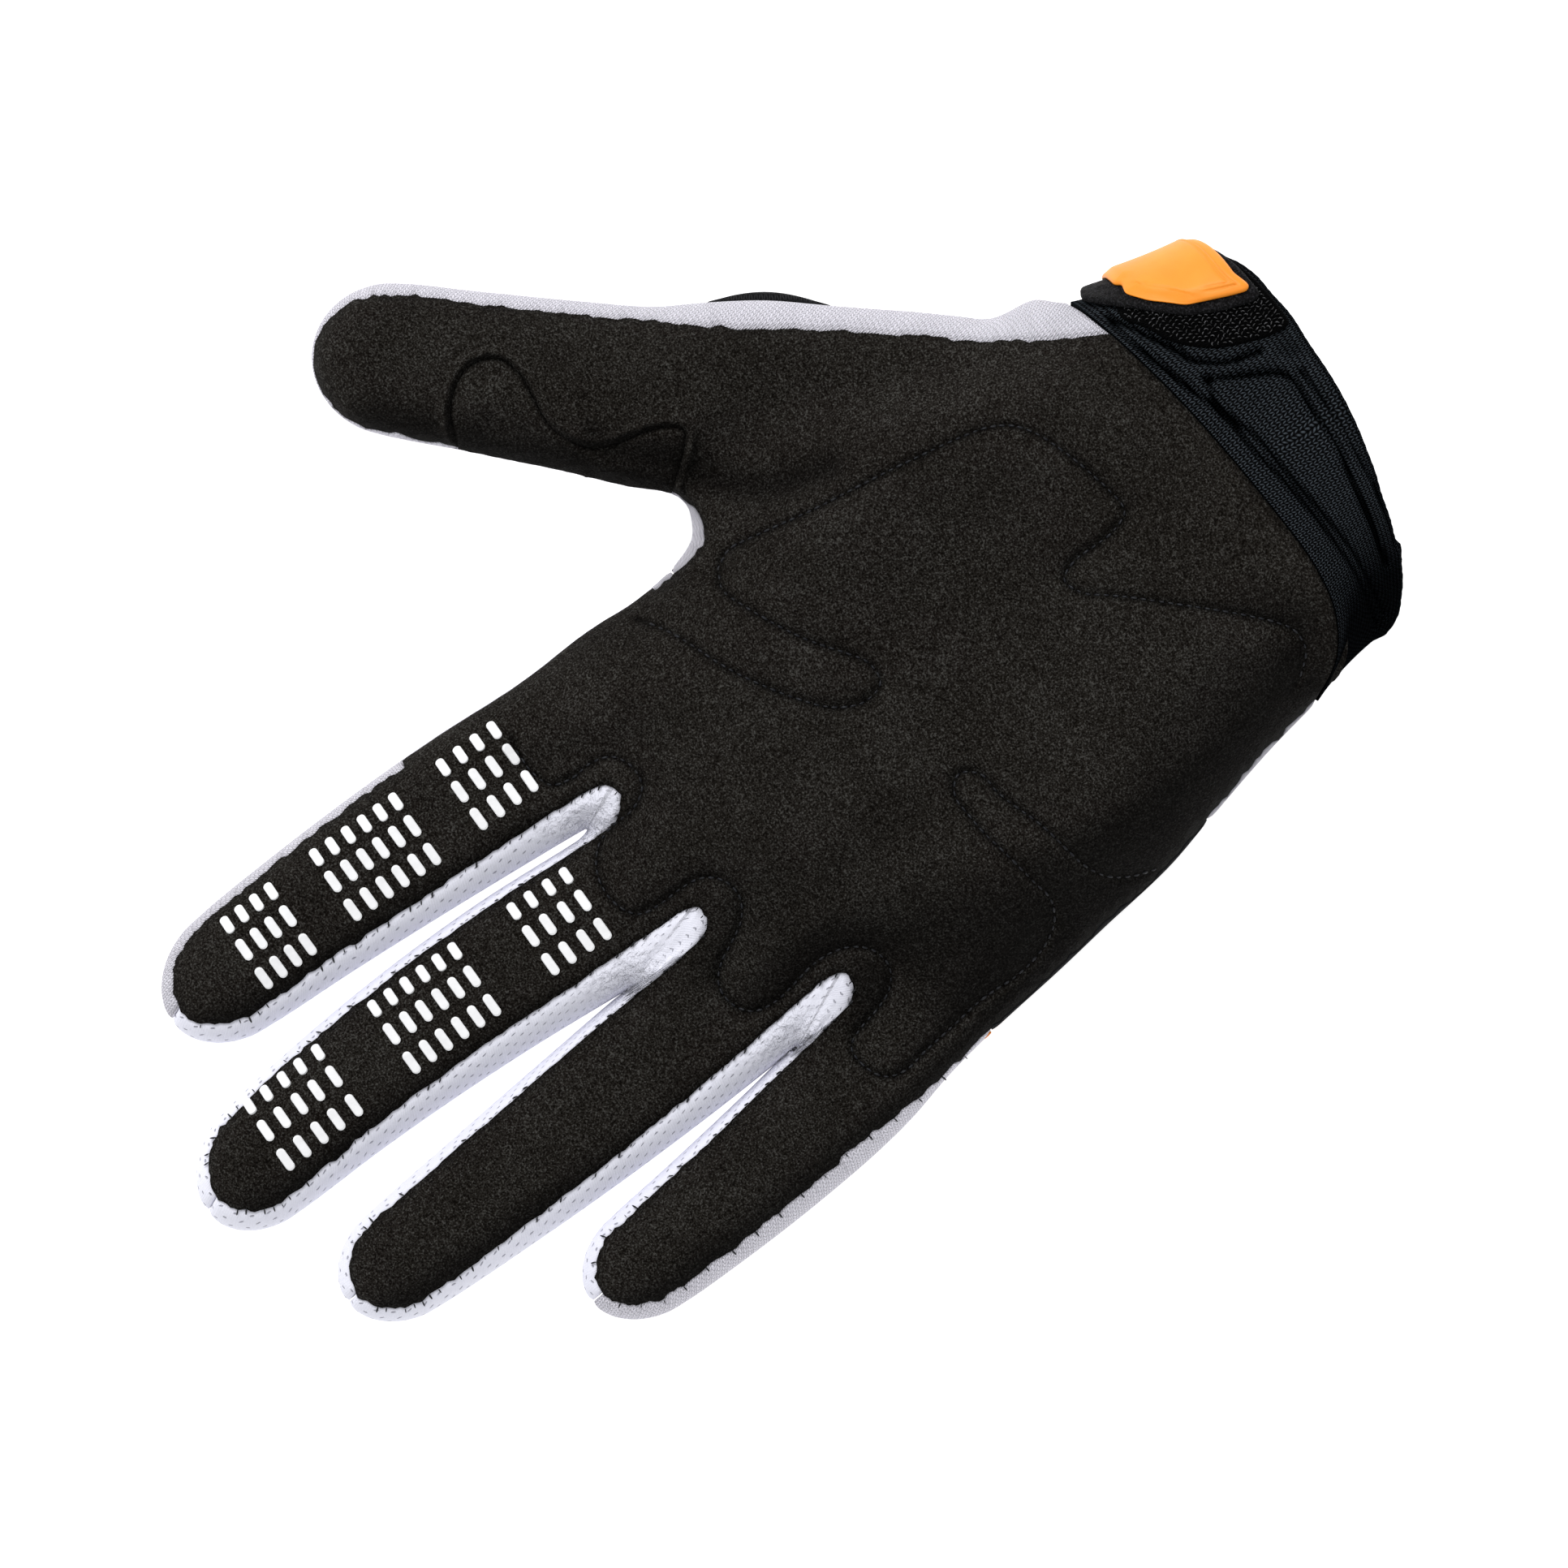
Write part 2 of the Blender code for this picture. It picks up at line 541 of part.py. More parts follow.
def tube_or_patch(name, outer, inner, closed, finish):
    """A solid between two grids of columns, round the wrist (closed) or over a part of it."""
    columns, rows = len(outer), len(outer[0])
    points = [p for column in outer for p in column] + [p for column in inner for p in column]
    half = columns * rows

    def quads(flip, base):
        for c in range(columns if closed else columns - 1):
            d = (c + 1) % columns
            for r in range(rows - 1):
                quad = [base + c * rows + r, base + c * rows + r + 1,
                        base + d * rows + r + 1, base + d * rows + r]
                for face in (quad[:3], [quad[0], quad[2], quad[3]]):
                    yield face[::-1] if flip else face

    skin_faces = list(quads(False, 0))
    faces = skin_faces + list(quads(True, half))
    faces += [[b, a, a + half, b + half] for a, b in sorted(border_edges(skin_faces))]
    return add_object(name, points, faces, finish)


# ---- Cuff and its closure --------------------------------------------------------------------------
class CuffForm:
    """The cuff's outer surface: column i of the wrist seam, t from the seam to the mouth."""

    def __init__(self, seam, normals):
        self.seam = [p - Vector((0, SEAM_GAP, 0)) for p in seam]
        self.normals = normals
        low, high = min(p.z for p in seam), max(p.z for p in seam)
        left, right = min(p.x for p in seam), max(p.x for p in seam)
        self.centre = Vector(((left + right) / 2, sum(p.y for p in seam) / len(seam), (low + high) / 2))
        half = Vector(((right - left) / 2, 0, (high - low) / 2))
        rise = WRIST_HEIGHT * (1 - MOUTH_LIFT) / 2
        self.mouth = []
        for p in self.seam:
            angle = math.atan2((p.z - self.centre.z) / half.z, (p.x - self.centre.x) / half.x)
            c, s = math.cos(angle), math.sin(angle)
            x = self.centre.x + math.copysign(abs(c) ** MOUTH_POWER, c) * MOUTH_WIDTH / 2
            z = WRIST_HEIGHT - rise + math.copysign(abs(s) ** MOUTH_POWER, s) * rise
            y = (self.centre.y - CUFF_LENGTH - MOUTH_SLOPE * (z - self.centre.z)
                 - MOUTH_TILT * (x - self.centre.x))
            self.mouth.append(Vector((x, y, z)))

    def point(self, column, t):
        column %= len(self.seam)
        p = self.seam[column].lerp(self.mouth[column], t)
        p.x = mix(self.seam[column].x, self.mouth[column].x, t * (2.0 - t))
        out = Vector((p.x - self.centre.x, 0, max(p.z - self.centre.z, 0)))
        return p + out.normalized() * (CUFF_BULGE * math.sin(math.pi * min(t, 1.0)))

    def normal(self, column, t):
        across = self.point(column + 1, t) - self.point(column - 1, t)
        along = self.point(column, t + 0.05) - self.point(column, t - 0.05)
        surface = along.cross(across).normalized()
        return self.normals[column % len(self.seam)].lerp(surface, smooth(t * 3)).normalized()


def build_cuff(form):
    steps = [i / (CUFF_RINGS - 1) for i in range(CUFF_RINGS)]
    outer = [[form.point(c, t) for t in steps] for c in range(len(form.seam))]
    inner = [[form.point(c, t) - form.normal(c, t) * CUFF_WALL for t in steps]
             for c in range(len(form.seam))]
    return tube_or_patch("cuff", outer, inner, True, CUFF_KNIT)


def build_wrap(name, form, middle, rows, lift, wall, finish):
    """A closure piece that follows the cuff at the given lift."""
    outer, inner = [], []
    for row in rows:
        column = middle + row.column
        steps = [mix(row.start, row.end, i / (WRAP_POINTS - 1)) for i in range(WRAP_POINTS)]
        inner.append([form.point(column, t) + form.normal(column, t) * lift for t in steps])
        outer.append([form.point(column, t) + form.normal(column, t) * (lift + wall) for t in steps])
    return tube_or_patch(name, outer, inner, False, finish)


# ---- The glove -------------------------------------------------------------------------------------
PANELS = (
    ("palm_panel", SUEDE_WALL, SUEDE), ("thumb_patch", SUEDE_WALL, SUEDE),
    ("thumb_gusset", KNIT_WALL, WHITE_KNIT), ("thumb_back", KNIT_WALL, WHITE_KNIT),
    ("fourchette_index_middle", MESH_WALL, WHITE_MESH),
    ("fourchette_middle_ring", MESH_WALL, WHITE_MESH),
    ("fourchette_ring_little", MESH_WALL, WHITE_MESH),
    ("back_panel", KNIT_WALL, WHITE_KNIT), ("back_band", BAND_WALL, STRETCH),
    ("wrist_panel", KNIT_WALL, WHITE_KNIT),
)


def main():
    for piece in list(bpy.data.objects):
        bpy.data.objects.remove(piece, do_unlink=True)
    skin, wrist_loop, thumb_column = build_skin()
    normals = corner_normals(skin.points, skin.faces)
    pieces = [panel_solid(name, skin, normals, wall, finish) for name, wall, finish in PANELS]
    form = CuffForm([skin.points[i] for i in wrist_loop], [normals[i] for i in wrist_loop])
    pieces.append(build_cuff(form))
    lift = SEAM_GAP
    for name, rows, wall, finish in (("loop_pad", LOOP_PAD, PAD_WALL, LOOP_FABRIC),
                                     ("closure_strap", STRAP, STRAP_WALL, FELT),
                                     ("pull_tab", PULL_TAB, TAB_WALL, RUBBER)):
        pieces.append(build_wrap(name, form, thumb_column, rows, lift, wall, finish))
        lift += wall + SEAM_GAP
    corners = [v.co for piece in pieces for v in piece.data.vertices]
    low = Vector([min(c[axis] for c in corners) for axis in range(3)])
    high = Vector([max(c[axis] for c in corners) for axis in range(3)])
    shift = -Vector(((low.x + high.x) / 2, (low.y + high.y) / 2, low.z))
    for piece in pieces:
        piece.data.transform(Matrix.Translation(shift))


main()
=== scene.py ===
# %% [markdown]
# # A motocross glove, palm up
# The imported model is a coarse, solid glove. This lesson dresses it: suede, knit and mesh panels
# with their seams and stitches, a quilted cuff, and a rubber pull tab. We load the frame first,
# and keep its box, because the dressed glove has to stay inside it.

import math

import bpy
import numpy as np
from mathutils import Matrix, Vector, noise
from mathutils.geometry import delaunay_2d_cdt


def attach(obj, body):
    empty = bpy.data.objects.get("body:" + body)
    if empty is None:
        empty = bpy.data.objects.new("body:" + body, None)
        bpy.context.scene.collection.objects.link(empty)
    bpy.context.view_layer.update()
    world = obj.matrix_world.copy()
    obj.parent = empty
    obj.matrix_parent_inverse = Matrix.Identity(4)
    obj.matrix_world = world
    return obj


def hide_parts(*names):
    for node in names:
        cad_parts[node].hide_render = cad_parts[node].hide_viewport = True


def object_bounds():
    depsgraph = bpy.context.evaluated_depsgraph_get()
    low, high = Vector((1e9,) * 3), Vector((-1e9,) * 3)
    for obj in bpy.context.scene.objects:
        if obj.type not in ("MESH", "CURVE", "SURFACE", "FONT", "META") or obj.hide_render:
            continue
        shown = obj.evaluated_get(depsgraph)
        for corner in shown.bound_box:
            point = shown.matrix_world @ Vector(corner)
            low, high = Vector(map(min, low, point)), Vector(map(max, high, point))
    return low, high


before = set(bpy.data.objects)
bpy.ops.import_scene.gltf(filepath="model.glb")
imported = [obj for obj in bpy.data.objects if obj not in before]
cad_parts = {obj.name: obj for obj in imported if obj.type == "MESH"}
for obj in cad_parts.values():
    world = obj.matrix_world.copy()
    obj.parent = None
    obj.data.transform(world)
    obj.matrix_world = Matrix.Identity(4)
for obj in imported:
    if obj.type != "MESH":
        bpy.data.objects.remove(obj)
CAD_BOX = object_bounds()
MM = 0.001
print("CAD box (mm):", [[round(c / MM, 1) for c in corner] for corner in CAD_BOX])

# %% [markdown]
# ## Sizes and the outline
# A glove pattern is drawn flat, so we draw it flat too: every place on the plan is in
# millimetres, x towards the thumb and y from the wrist seam to the fingertips. Each digit is an
# axis with a width at its root and at its tip, and three rails run round the hand: the palm
# panel's edge, the outline itself, and the back seam that lies just under the outline.

# %% Sizes and tables (millimetres, and shares of the palm's width and the hand's length)
PALM_WIDTH, HAND_LENGTH = 98.0, 209.0
FINGER_HEIGHT, THUMB_HEIGHT, PALM_HEIGHT, WRIST_HEIGHT = 16.5, 18.5, 27.5, 35.0
SIDE_STRIP, BACK_WRAP, SEAM_GAP = 5.2, 2.8, 0.3
SIDE_POINTS, CAP_ANGLES = 5, (22, 45, 68, 90)  # each digit: points on a side, and round its tip
TIP = SIDE_POINTS + len(CAP_ANGLES) - 1  # the number of the tip among a digit's points
DIGITS = (  # name, base x y, tip x y, bow, half widths, cap, taper, and the palm panel's insets:
    # thumb side at base and tip, little side at base and tip, fingertip
    ("thumb", 0.614, 0.331, 1.019, 0.561, 0.000, 0.168, 0.134, 1.10, 0.6,
     0.54, 0.42, 0.02, 0.08, 0.07),
    ("index", 0.194, 0.545, 0.142, 0.943, 0.014, 0.139, 0.114, 1.30, 1.6,
     0.13, 0.29, 1.00, 0.63, 0.50),
    ("middle", -0.089, 0.580, -0.175, 0.998, 0.026, 0.135, 0.111, 1.30, 1.6,
     0.27, 0.27, 1.19, 0.63, 0.62),
    ("ring", -0.343, 0.580, -0.437, 0.938, -0.004, 0.132, 0.103, 1.30, 1.6,
     0.31, 0.31, 1.19, 0.50, 0.46),
    ("little", -0.557, 0.480, -0.656, 0.767, -0.010, 0.118, 0.099, 1.35, 1.6,
     0.25, 0.33, 0.62, 0.53, 0.54),
)
STARTS = {  # where the outline's and the palm panel's sides begin on each digit
    "thumb": (0.10, 0.09, 0.10, 0.09), "index": (0.02, 0.085, 0.02, 0.015),
    "middle": (0.00, 0.085, -0.070, -0.093), "ring": (0.09, -0.15, -0.108, -0.320),
    "little": (0.14, 0.12, -0.054, 0.12),
}
CROTCH_DEPTH = {"palm": (0.73, 0.73, 0.69), "side": (0.27, 0.19, 0.19), "back": (0.67,) * 3}
# The sides between the digits: x, y and the palm panel's inset, in side strips
THUMB_SIDE = ((0.404, 0.015, 1.21), (0.437, 0.044, 1.23), (0.469, 0.084, 0.87),
              (0.540, 0.131, 0.88), (0.613, 0.179, 0.90), (0.684, 0.225, 1.01),
              (0.736, 0.269, 0.86))
WEB = ((0.478, 0.372, 0.05), (0.450, 0.366, 0.10), (0.418, 0.370, 0.35), (0.392, 0.378, 0.41),
       (0.366, 0.405, 0.23), (0.352, 0.440, 0.10), (0.349, 0.489, 0.08))
LITTLE_SIDE = ((-0.668, 0.465, 0.40), (-0.637, 0.421, 0.12), (-0.611, 0.373, 0.10),
               (-0.580, 0.301, 0.09), (-0.555, 0.249, 0.09), (-0.524, 0.182, 0.09),
               (-0.489, 0.134, 0.09), (-0.438, 0.062, 0.09), (-0.408, 0.010, 0.09))
WRIST_CORNER = (0.318, 0.003)  # where the palm suede, the gusset and the cuff meet
WRIST_SEAM_PALM = ((-0.361, -0.017), (-0.291, -0.035), (-0.209, -0.040), (-0.073, -0.034),
                   (0.124, -0.019), (0.270, -0.003))
WRIST_SEAM_BACK = ((0.270, 0.034), (0.100, 0.045), (-0.100, 0.045), (-0.290, 0.026))
THUMB_PATCH_SEAM = ((0.790, 0.492), (0.821, 0.480), (0.842, 0.464), (0.842, 0.448),
                    (0.824, 0.434), (0.790, 0.428), (0.743, 0.428), (0.687, 0.429),
                    (0.645, 0.421), (0.612, 0.408), (0.597, 0.386), (0.589, 0.363),
                    (0.580, 0.350), (0.557, 0.337))
THUMB_BACK_SEAM = ((0.440, 0.310), (0.520, 0.265), (0.620, 0.255))
BAND_TOP_SEAM = ((-0.420, 0.398), (-0.150, 0.425), (0.150, 0.415), (0.290, 0.400))
BAND_LOW_SEAM = ((0.420, 0.150), (0.150, 0.118), (-0.200, 0.112), (-0.380, 0.120))


def at(x, y):
    return np.array([x * PALM_WIDTH, y * HAND_LENGTH])


def digit_sides(row, rail):
    """Points up the digit's thumb side and over its tip, and up its other side."""
    name, bx, by, tx, ty, bow, wide, narrow, cap, taper, *inset = row
    inset = np.array(inset) * SIDE_STRIP if rail == "palm" else np.full(5, BACK_WRAP)
    if rail == "side":
        inset = np.zeros(5)
    thumb_low, thumb_high, little_low, little_high, tip_inset = inset
    begin = STARTS[name][2:] if rail == "palm" else STARTS[name][:2]
    base, tip = at(bx, by), at(tx, ty)
    length = np.linalg.norm(tip - base)
    axis = (tip - base) / length
    side = np.array([axis[1], -axis[0]])
    cap *= narrow * PALM_WIDTH
    shoulder = 1 - cap / length

    def centre(u):
        return base + axis * u * length + side * bow * PALM_WIDTH * max(4 * u * (1 - u), 0)

    def half(u):
        share = min(max(u / shoulder, 0), 1) ** taper
        return (wide + (narrow - wide) * share) * PALM_WIDTH

    up, down = [], []
    for t in np.arange(SIDE_POINTS) / (SIDE_POINTS - 1):
        u, v = (b + (shoulder - b) * t for b in begin)
        up.append(centre(u) + side * (half(u) - thumb_low - (thumb_high - thumb_low) * t))
        down.append(centre(v) - side * (half(v) - little_low - (little_high - little_low) * t))
    for angle in np.radians(CAP_ANGLES):
        middle = centre(shoulder + (cap - tip_inset) / length * math.sin(angle))
        middle = middle + side * (little_high - thumb_high) / 2
        reach = side * (narrow * PALM_WIDTH - (thumb_high + little_high) / 2) * math.cos(angle)
        up.append(middle + reach)
        if angle < math.pi / 2:
            down.append(middle - reach)
    return up, down


def edge_points(rows, rail):
    points = np.array([at(x, y) for x, y, _ in rows])
    along = np.array([points[min(i + 1, len(points) - 1)] - points[max(i - 1, 0)]
                      for i in range(len(points))])
    along /= np.linalg.norm(along, axis=1)[:, None]
    inset = {"palm": np.array([r[2] for r in rows]) * SIDE_STRIP, "side": 0, "back": BACK_WRAP}
    inwards = np.stack([-along[:, 1], along[:, 0]], 1)
    return list(points + inwards * np.broadcast_to(inset[rail], len(rows))[:, None])


def control_rail(rail):
    """One rail round the hand, thumb side of the wrist first, with the name of each point."""
    points, names = [], []

    def add(name, stretch):
        points.extend(stretch)
        names.extend((name, i) for i in range(len(stretch)))

    sides = {row[0]: digit_sides(row, rail) for row in DIGITS}
    add("thumb_side", edge_points(THUMB_SIDE, rail))
    add("thumb", sides["thumb"][0] + sides["thumb"][1][::-1])
    add("web", edge_points(WEB, rail))
    add("index", sides["index"][0] + sides["index"][1][::-1])
    for name, depth in zip(("middle", "ring", "little"), CROTCH_DEPTH[rail]):
        up, down = sides[name]
        middle, arm = (points[-1] + up[0]) / 2, (points[-1] - up[0]) / 2
        turn = np.pi * np.arange(1, 6) / 6
        add("crotch", [middle + arm * math.cos(t) - (0, depth * SIDE_STRIP * math.sin(t))
                       for t in turn])
        add(name, up + down[::-1])
    add("little_side", edge_points(LITTLE_SIDE, rail))
    if rail == "palm":
        points[0] = at(*WRIST_CORNER)
    return np.array(points), names


controls = {rail: control_rail(rail)[0] for rail in ("palm", "side", "back")}
STATIONS = control_rail("side")[1]
print("outline stations:", len(STATIONS))

# %% [markdown]
# The tables give a point every few millimetres. A smooth curve through them gives the rounded
# line that scissors would cut. We use the centripetal kind of curve, because it never loops
# where wide and narrow spacing meet, as they do in the gaps between fingers.

# %% Smooth curves
RAIL_STEP = 1.1
RAGGED = 0.65  # the suede's edge is cut a little ragged (mm)


def smooth_curve(points, steps):
    """A curve through the points, with steps[i] short edges in place of edge i."""
    points = np.asarray(points, float)
    ends = [2 * points[0] - points[1], *points, 2 * points[-1] - points[-2]]
    made = []
    for (a, b, c, d), count in zip(zip(ends, ends[1:], ends[2:], ends[3:]), steps):
        knots = np.cumsum([0] + [math.sqrt(np.linalg.norm(q - p)) + 1e-4
                                 for p, q in ((a, b), (b, c), (c, d))])
        for t in np.linspace(knots[1], knots[2], count, endpoint=False):
            def blend(p, q, i, j):
                return p + (q - p) * (t - knots[i]) / (knots[j] - knots[i])
            ab, bc, cd = blend(a, b, 0, 1), blend(b, c, 1, 2), blend(c, d, 2, 3)
            made.append(blend(blend(ab, bc, 0, 2), blend(bc, cd, 1, 3), 1, 2))
    made.append(points[-1])
    return np.array(made)


def run_of(line):
    """How far along the line each of its points lies."""
    return np.concatenate([[0], np.cumsum(np.linalg.norm(np.diff(line, axis=0), axis=1))])


def sample(line, goal):
    """The places on the line at the given distances from its start."""
    reach = run_of(line)
    return np.stack([np.interp(goal, reach, column) for column in line.T], 1)


def even_curve(points, spacing):
    """A smooth curve through the points, resampled to one even spacing."""
    fine = smooth_curve(points, [24] * (len(points) - 1))
    total = run_of(fine)[-1]
    return sample(fine, np.linspace(0, total, max(int(round(total / spacing)), 2) + 1))


def closed(outline):
    """The outline with its first point repeated at its end."""
    return np.concatenate([outline, outline[:1]])


spans = np.linalg.norm(np.diff(controls["side"], axis=0), axis=1)
spans = np.maximum(spans, np.linalg.norm(np.diff(controls["palm"], axis=0), axis=1) * 0.8)
STEPS = np.maximum(np.ceil(spans / RAIL_STEP).astype(int), 1)
RAILS = {name: smooth_curve(points, STEPS) for name, points in controls.items()}
FIRST = np.concatenate([[0], np.cumsum(STEPS)])  # the fine rail's index of each station
WHERE = {name: FIRST[i] for i, name in enumerate(STATIONS)}
LAST = len(RAILS["side"]) - 1
TIPS = [WHERE[(row[0], TIP)] for row in DIGITS]
APEX = dict(zip([row[0] for row in DIGITS], TIPS))
WEB_LOW, WEB_HIGH = WHERE[("web", 2)], WHERE[("web", 4)]
BAND_LOW_THUMB, THUMB_LOW = WHERE[("thumb_side", 4)], WHERE[("thumb_side", 6)]
BAND_TOP, BAND_LOW = WHERE[("little_side", 2)], WHERE[("little_side", 6)]
across = RAILS["side"] - RAILS["palm"]
across /= np.linalg.norm(across, axis=1, keepdims=True) + 0.05
ragged = np.array([noise.noise(Vector((i * 0.83, 2.7, 0.4))) for i in range(LAST + 1)])
RAILS["palm"] = RAILS["palm"] + across * (ragged * RAGGED)[:, None]
print("fine rail points:", LAST + 1)

# %% [markdown]
# ## How high the glove stands
# A lightly filled glove is rounded at its outline and nearly level inside it. Each zone has a
# height, the height of its outline, and the width of its rounded edge; a palm, a wrist and two
# kinds of digit are blended into one surface. Everything is worked out for many points at
# once with numpy, because the fine skin has tens of thousands of them.

# %% Heights of the palm and the back
ZONES = {  # height, outline's share of it, and the widths of the rounded edge above and below
    "fingers": (FINGER_HEIGHT, 0.48, 0.100, 0.066), "thumb": (THUMB_HEIGHT, 0.48, 0.115, 0.072),
    "palm": (PALM_HEIGHT, 0.46, 0.245, 0.120), "wrist": (WRIST_HEIGHT, 0.48, 0.300, 0.160),
}
BODY_CENTRE, BODY_RADII = (-0.040, 0.145), (0.450, 0.373)  # the ellipse where the palm is high
MOUNDS = (  # x, y, width and height of each soft mound or hollow of the palm
          (0.427, 0.322, 0.095, -0.090), (0.000, 0.210, 0.210, -0.090),
          (0.300, 0.170, 0.180, 0.060), (-0.240, 0.100, 0.180, 0.050),
          (-0.330, 0.480, 0.110, 0.035), (-0.080, 0.500, 0.120, 0.035),
          (0.180, 0.490, 0.110, 0.030))


def smooth(t):
    t = np.clip(t, 0, 1)
    return t * t * (3 - 2 * t)


def bulge(t):
    return np.sqrt(1 - (1 - np.clip(t, 0, 1)) ** 2)


def bell(gap, width):
    """1 on a line, and falling softly to 0 beside it."""
    return np.exp(-(gap / width) ** 2)


def near(points, line):
    """Distance from each point to the line, and how far along the line its foot lies."""
    a, edge = line[:-1], np.diff(line, axis=0)
    size = (edge * edge).sum(1)
    run = np.concatenate([[0], np.cumsum(np.sqrt(size))])
    gap, along = np.empty(len(points)), np.empty(len(points))
    for start in range(0, len(points), 1500):
        part = points[start:start + 1500, None, :]
        t = np.clip(((part - a) * edge).sum(-1) / size, 0, 1)
        apart = ((part - a - t[..., None] * edge) ** 2).sum(-1)
        best = apart.argmin(1)
        rows = np.arange(len(best))
        gap[start:start + 1500] = np.sqrt(apart[rows, best])
        along[start:start + 1500] = run[best] + t[rows, best] * np.sqrt(size[best])
    return gap, along


def zone_at(points):
    x, y = points[:, 0] / PALM_WIDTH, points[:, 1] / HAND_LENGTH
    radius = np.hypot((x - BODY_CENTRE[0]) / BODY_RADII[0], (y - BODY_CENTRE[1]) / BODY_RADII[1])
    wrist = smooth((0.30 - y) / 0.30)
    core = np.maximum(smooth((1.35 - radius) / 0.60), wrist)
    thumb = smooth((x - 0.40) / 0.20)
    f, t, p, w = (np.array(ZONES[name])[:, None] for name in ("fingers", "thumb", "palm", "wrist"))
    digit, body = f + (t - f) * thumb, p + (w - p) * wrist
    height, side, roll, under = digit + (body - digit) * core
    return height, height * side, roll * PALM_WIDTH, under * PALM_WIDTH


def noise_at(points, size, seed):
    return np.array([noise.noise(Vector((x / size, y / size, seed))) for x, y in points[:, :2]])


def palm_base(points):
    height, side, roll, _ = zone_at(points)
    gap, _ = near(points, RAILS["side"])
    rise = bulge(gap / roll)
    mounds = sum(PALM_HEIGHT * up * bell(np.linalg.norm(points - at(x, y), axis=1),
                                         size * PALM_WIDTH) for x, y, size, up in MOUNDS)
    return side + (height - side) * rise + mounds * rise, rise


def back_height(points):
    _, side, _, under = zone_at(points)
    gap, _ = near(points, RAILS["side"])
    return side * (1 - bulge(gap / under))


# %% [markdown]
# ## The stitched lines and the folded seam
# The palm is two layers of suede held together by single rows of stitches. Each row pulls the
# suede down into a narrow furrow. The thumb patch is joined with a turned seam instead, which
# stands up as a small ridge beside its furrow.

# %% Stitched lines on the plan (mm) and the furrows they pull
HEART = ((31.7, 77.4), (33.2, 76.0), (31.7, 57.8), (30.4, 41.2), (28.5, 27.1), (26.9, 23.4),
         (23.9, 20.5), (16.4, 16.9), (9.8, 14.8), (5.9, 13.9), (3.8, 14.4), (2.4, 18.0),
         (1.5, 26.0), (0.2, 28.4), (-2.8, 27.8), (-7.8, 21.5), (-13.9, 14.1), (-20.1, 6.7),
         (-25.0, 1.6), (-28.7, -0.6), (-32.5, 0.4), (-35.5, 4.0))
FINGER_LOOP = ((31.7, 77.4), (29.5, 78.7), (27.3, 78.5), (19.9, 74.9), (13.4, 70.8), (7.3, 65.7),
               (3.8, 63.6), (1.0, 63.9), (-0.4, 66.3), (0.0, 70.1), (1.9, 73.6), (6.3, 77.8),
               (11.1, 81.5), (17.1, 85.3), (23.2, 88.2), (27.8, 90.8), (31.6, 93.8))
KNUCKLE_LINE = ((-50.2, 40.4), (-48.7, 45.2), (-46.1, 48.7), (-42.7, 50.5), (-33.9, 53.0),
                (-25.7, 56.4), (-21.3, 57.3), (-19.1, 59.6), (-20.4, 62.6), (-27.9, 62.4),
                (-35.1, 60.6), (-41.5, 59.0), (-45.7, 58.1), (-48.9, 59.4), (-51.4, 62.4),
                (-53.5, 68.6), (-54.0, 76.6), (-55.5, 83.7), (-56.5, 88.9), (-57.7, 96.0),
                (-55.3, 98.8), (-50.4, 100.2), (-48.2, 98.6), (-47.0, 94.6), (-44.2, 89.1),
                (-41.4, 87.4), (-38.1, 87.8), (-35.4, 90.1), (-34.2, 93.3), (-33.9, 97.2),
                (-35.3, 102.6), (-36.3, 107.9), (-35.2, 112.0), (-31.7, 113.8), (-27.9, 113.4),
                (-25.4, 110.8), (-22.0, 105.4), (-18.7, 103.1), (-15.6, 103.2), (-12.5, 105.2),
                (-11.5, 109.0), (-12.0, 115.6), (-11.2, 120.0), (-7.7, 121.7), (-4.3, 122.1),
                (-0.4, 120.9), (2.9, 117.5), (4.4, 110.2), (7.4, 107.0), (10.5, 107.3),
                (13.4, 109.1), (14.5, 112.0), (14.0, 117.1), (14.6, 120.4), (17.2, 121.9),
                (20.6, 122.8), (25.4, 122.3))
FURROW, FURROW_WIDTH, QUILT_DEPTH, QUILT_WIDTH = 0.65, 0.75, 0.85, 3.4
RIDGE, RIDGE_WIDTH, RIDGE_OFFSET, GROOVE, GROOVE_WIDTH = 0.80, 0.65, 1.10, 0.40, 0.5
PUCKER = 2.6  # from one pull of the thread to the next
SOFTNESS = ((0.55, 26, 1.7), (0.20, 9, 5.1), (0.05, 2.2, 9.3))  # height, size and seed of noise
PATCH_START = (71.7, 105.7)  # where the thumb patch begins on the palm panel's edge
FOLDS = (  # soft folds: depth, width, and the line they follow
    (1.7, 2.6, ((60.0, 84.5), (51.2, 76.2), (46.1, 71.6), (39.8, 63.8), (36.6, 52.4))),
    (0.6, 3.0, ((72.0, 97.0), (62.0, 92.0), (54.0, 86.0), (49.0, 79.0))),
    (0.5, 4.0, ((-14.0, 122.0), (-22.0, 90.0), (-20.0, 72.0))),
    (0.5, 3.0, ((20.0, 122.0), (18.0, 112.0), (14.0, 98.0))),
)
FOLDS = [(depth, width, even_curve(line, 2.0)) for depth, width, line in FOLDS]
stitch_lines = {name: even_curve(line, 1.0) for name, line in
                (("heart", HEART), ("finger_loop", FINGER_LOOP), ("knuckle_line", KNUCKLE_LINE))}
patch_start = int(np.linalg.norm(RAILS["palm"] - PATCH_START, axis=1).argmin())
patch_end = WHERE[("web", 0)]
patch_line = even_curve([RAILS["palm"][patch_start]] + [at(x, y) for x, y in THUMB_PATCH_SEAM]
                        + [RAILS["palm"][patch_end]], 1.0)


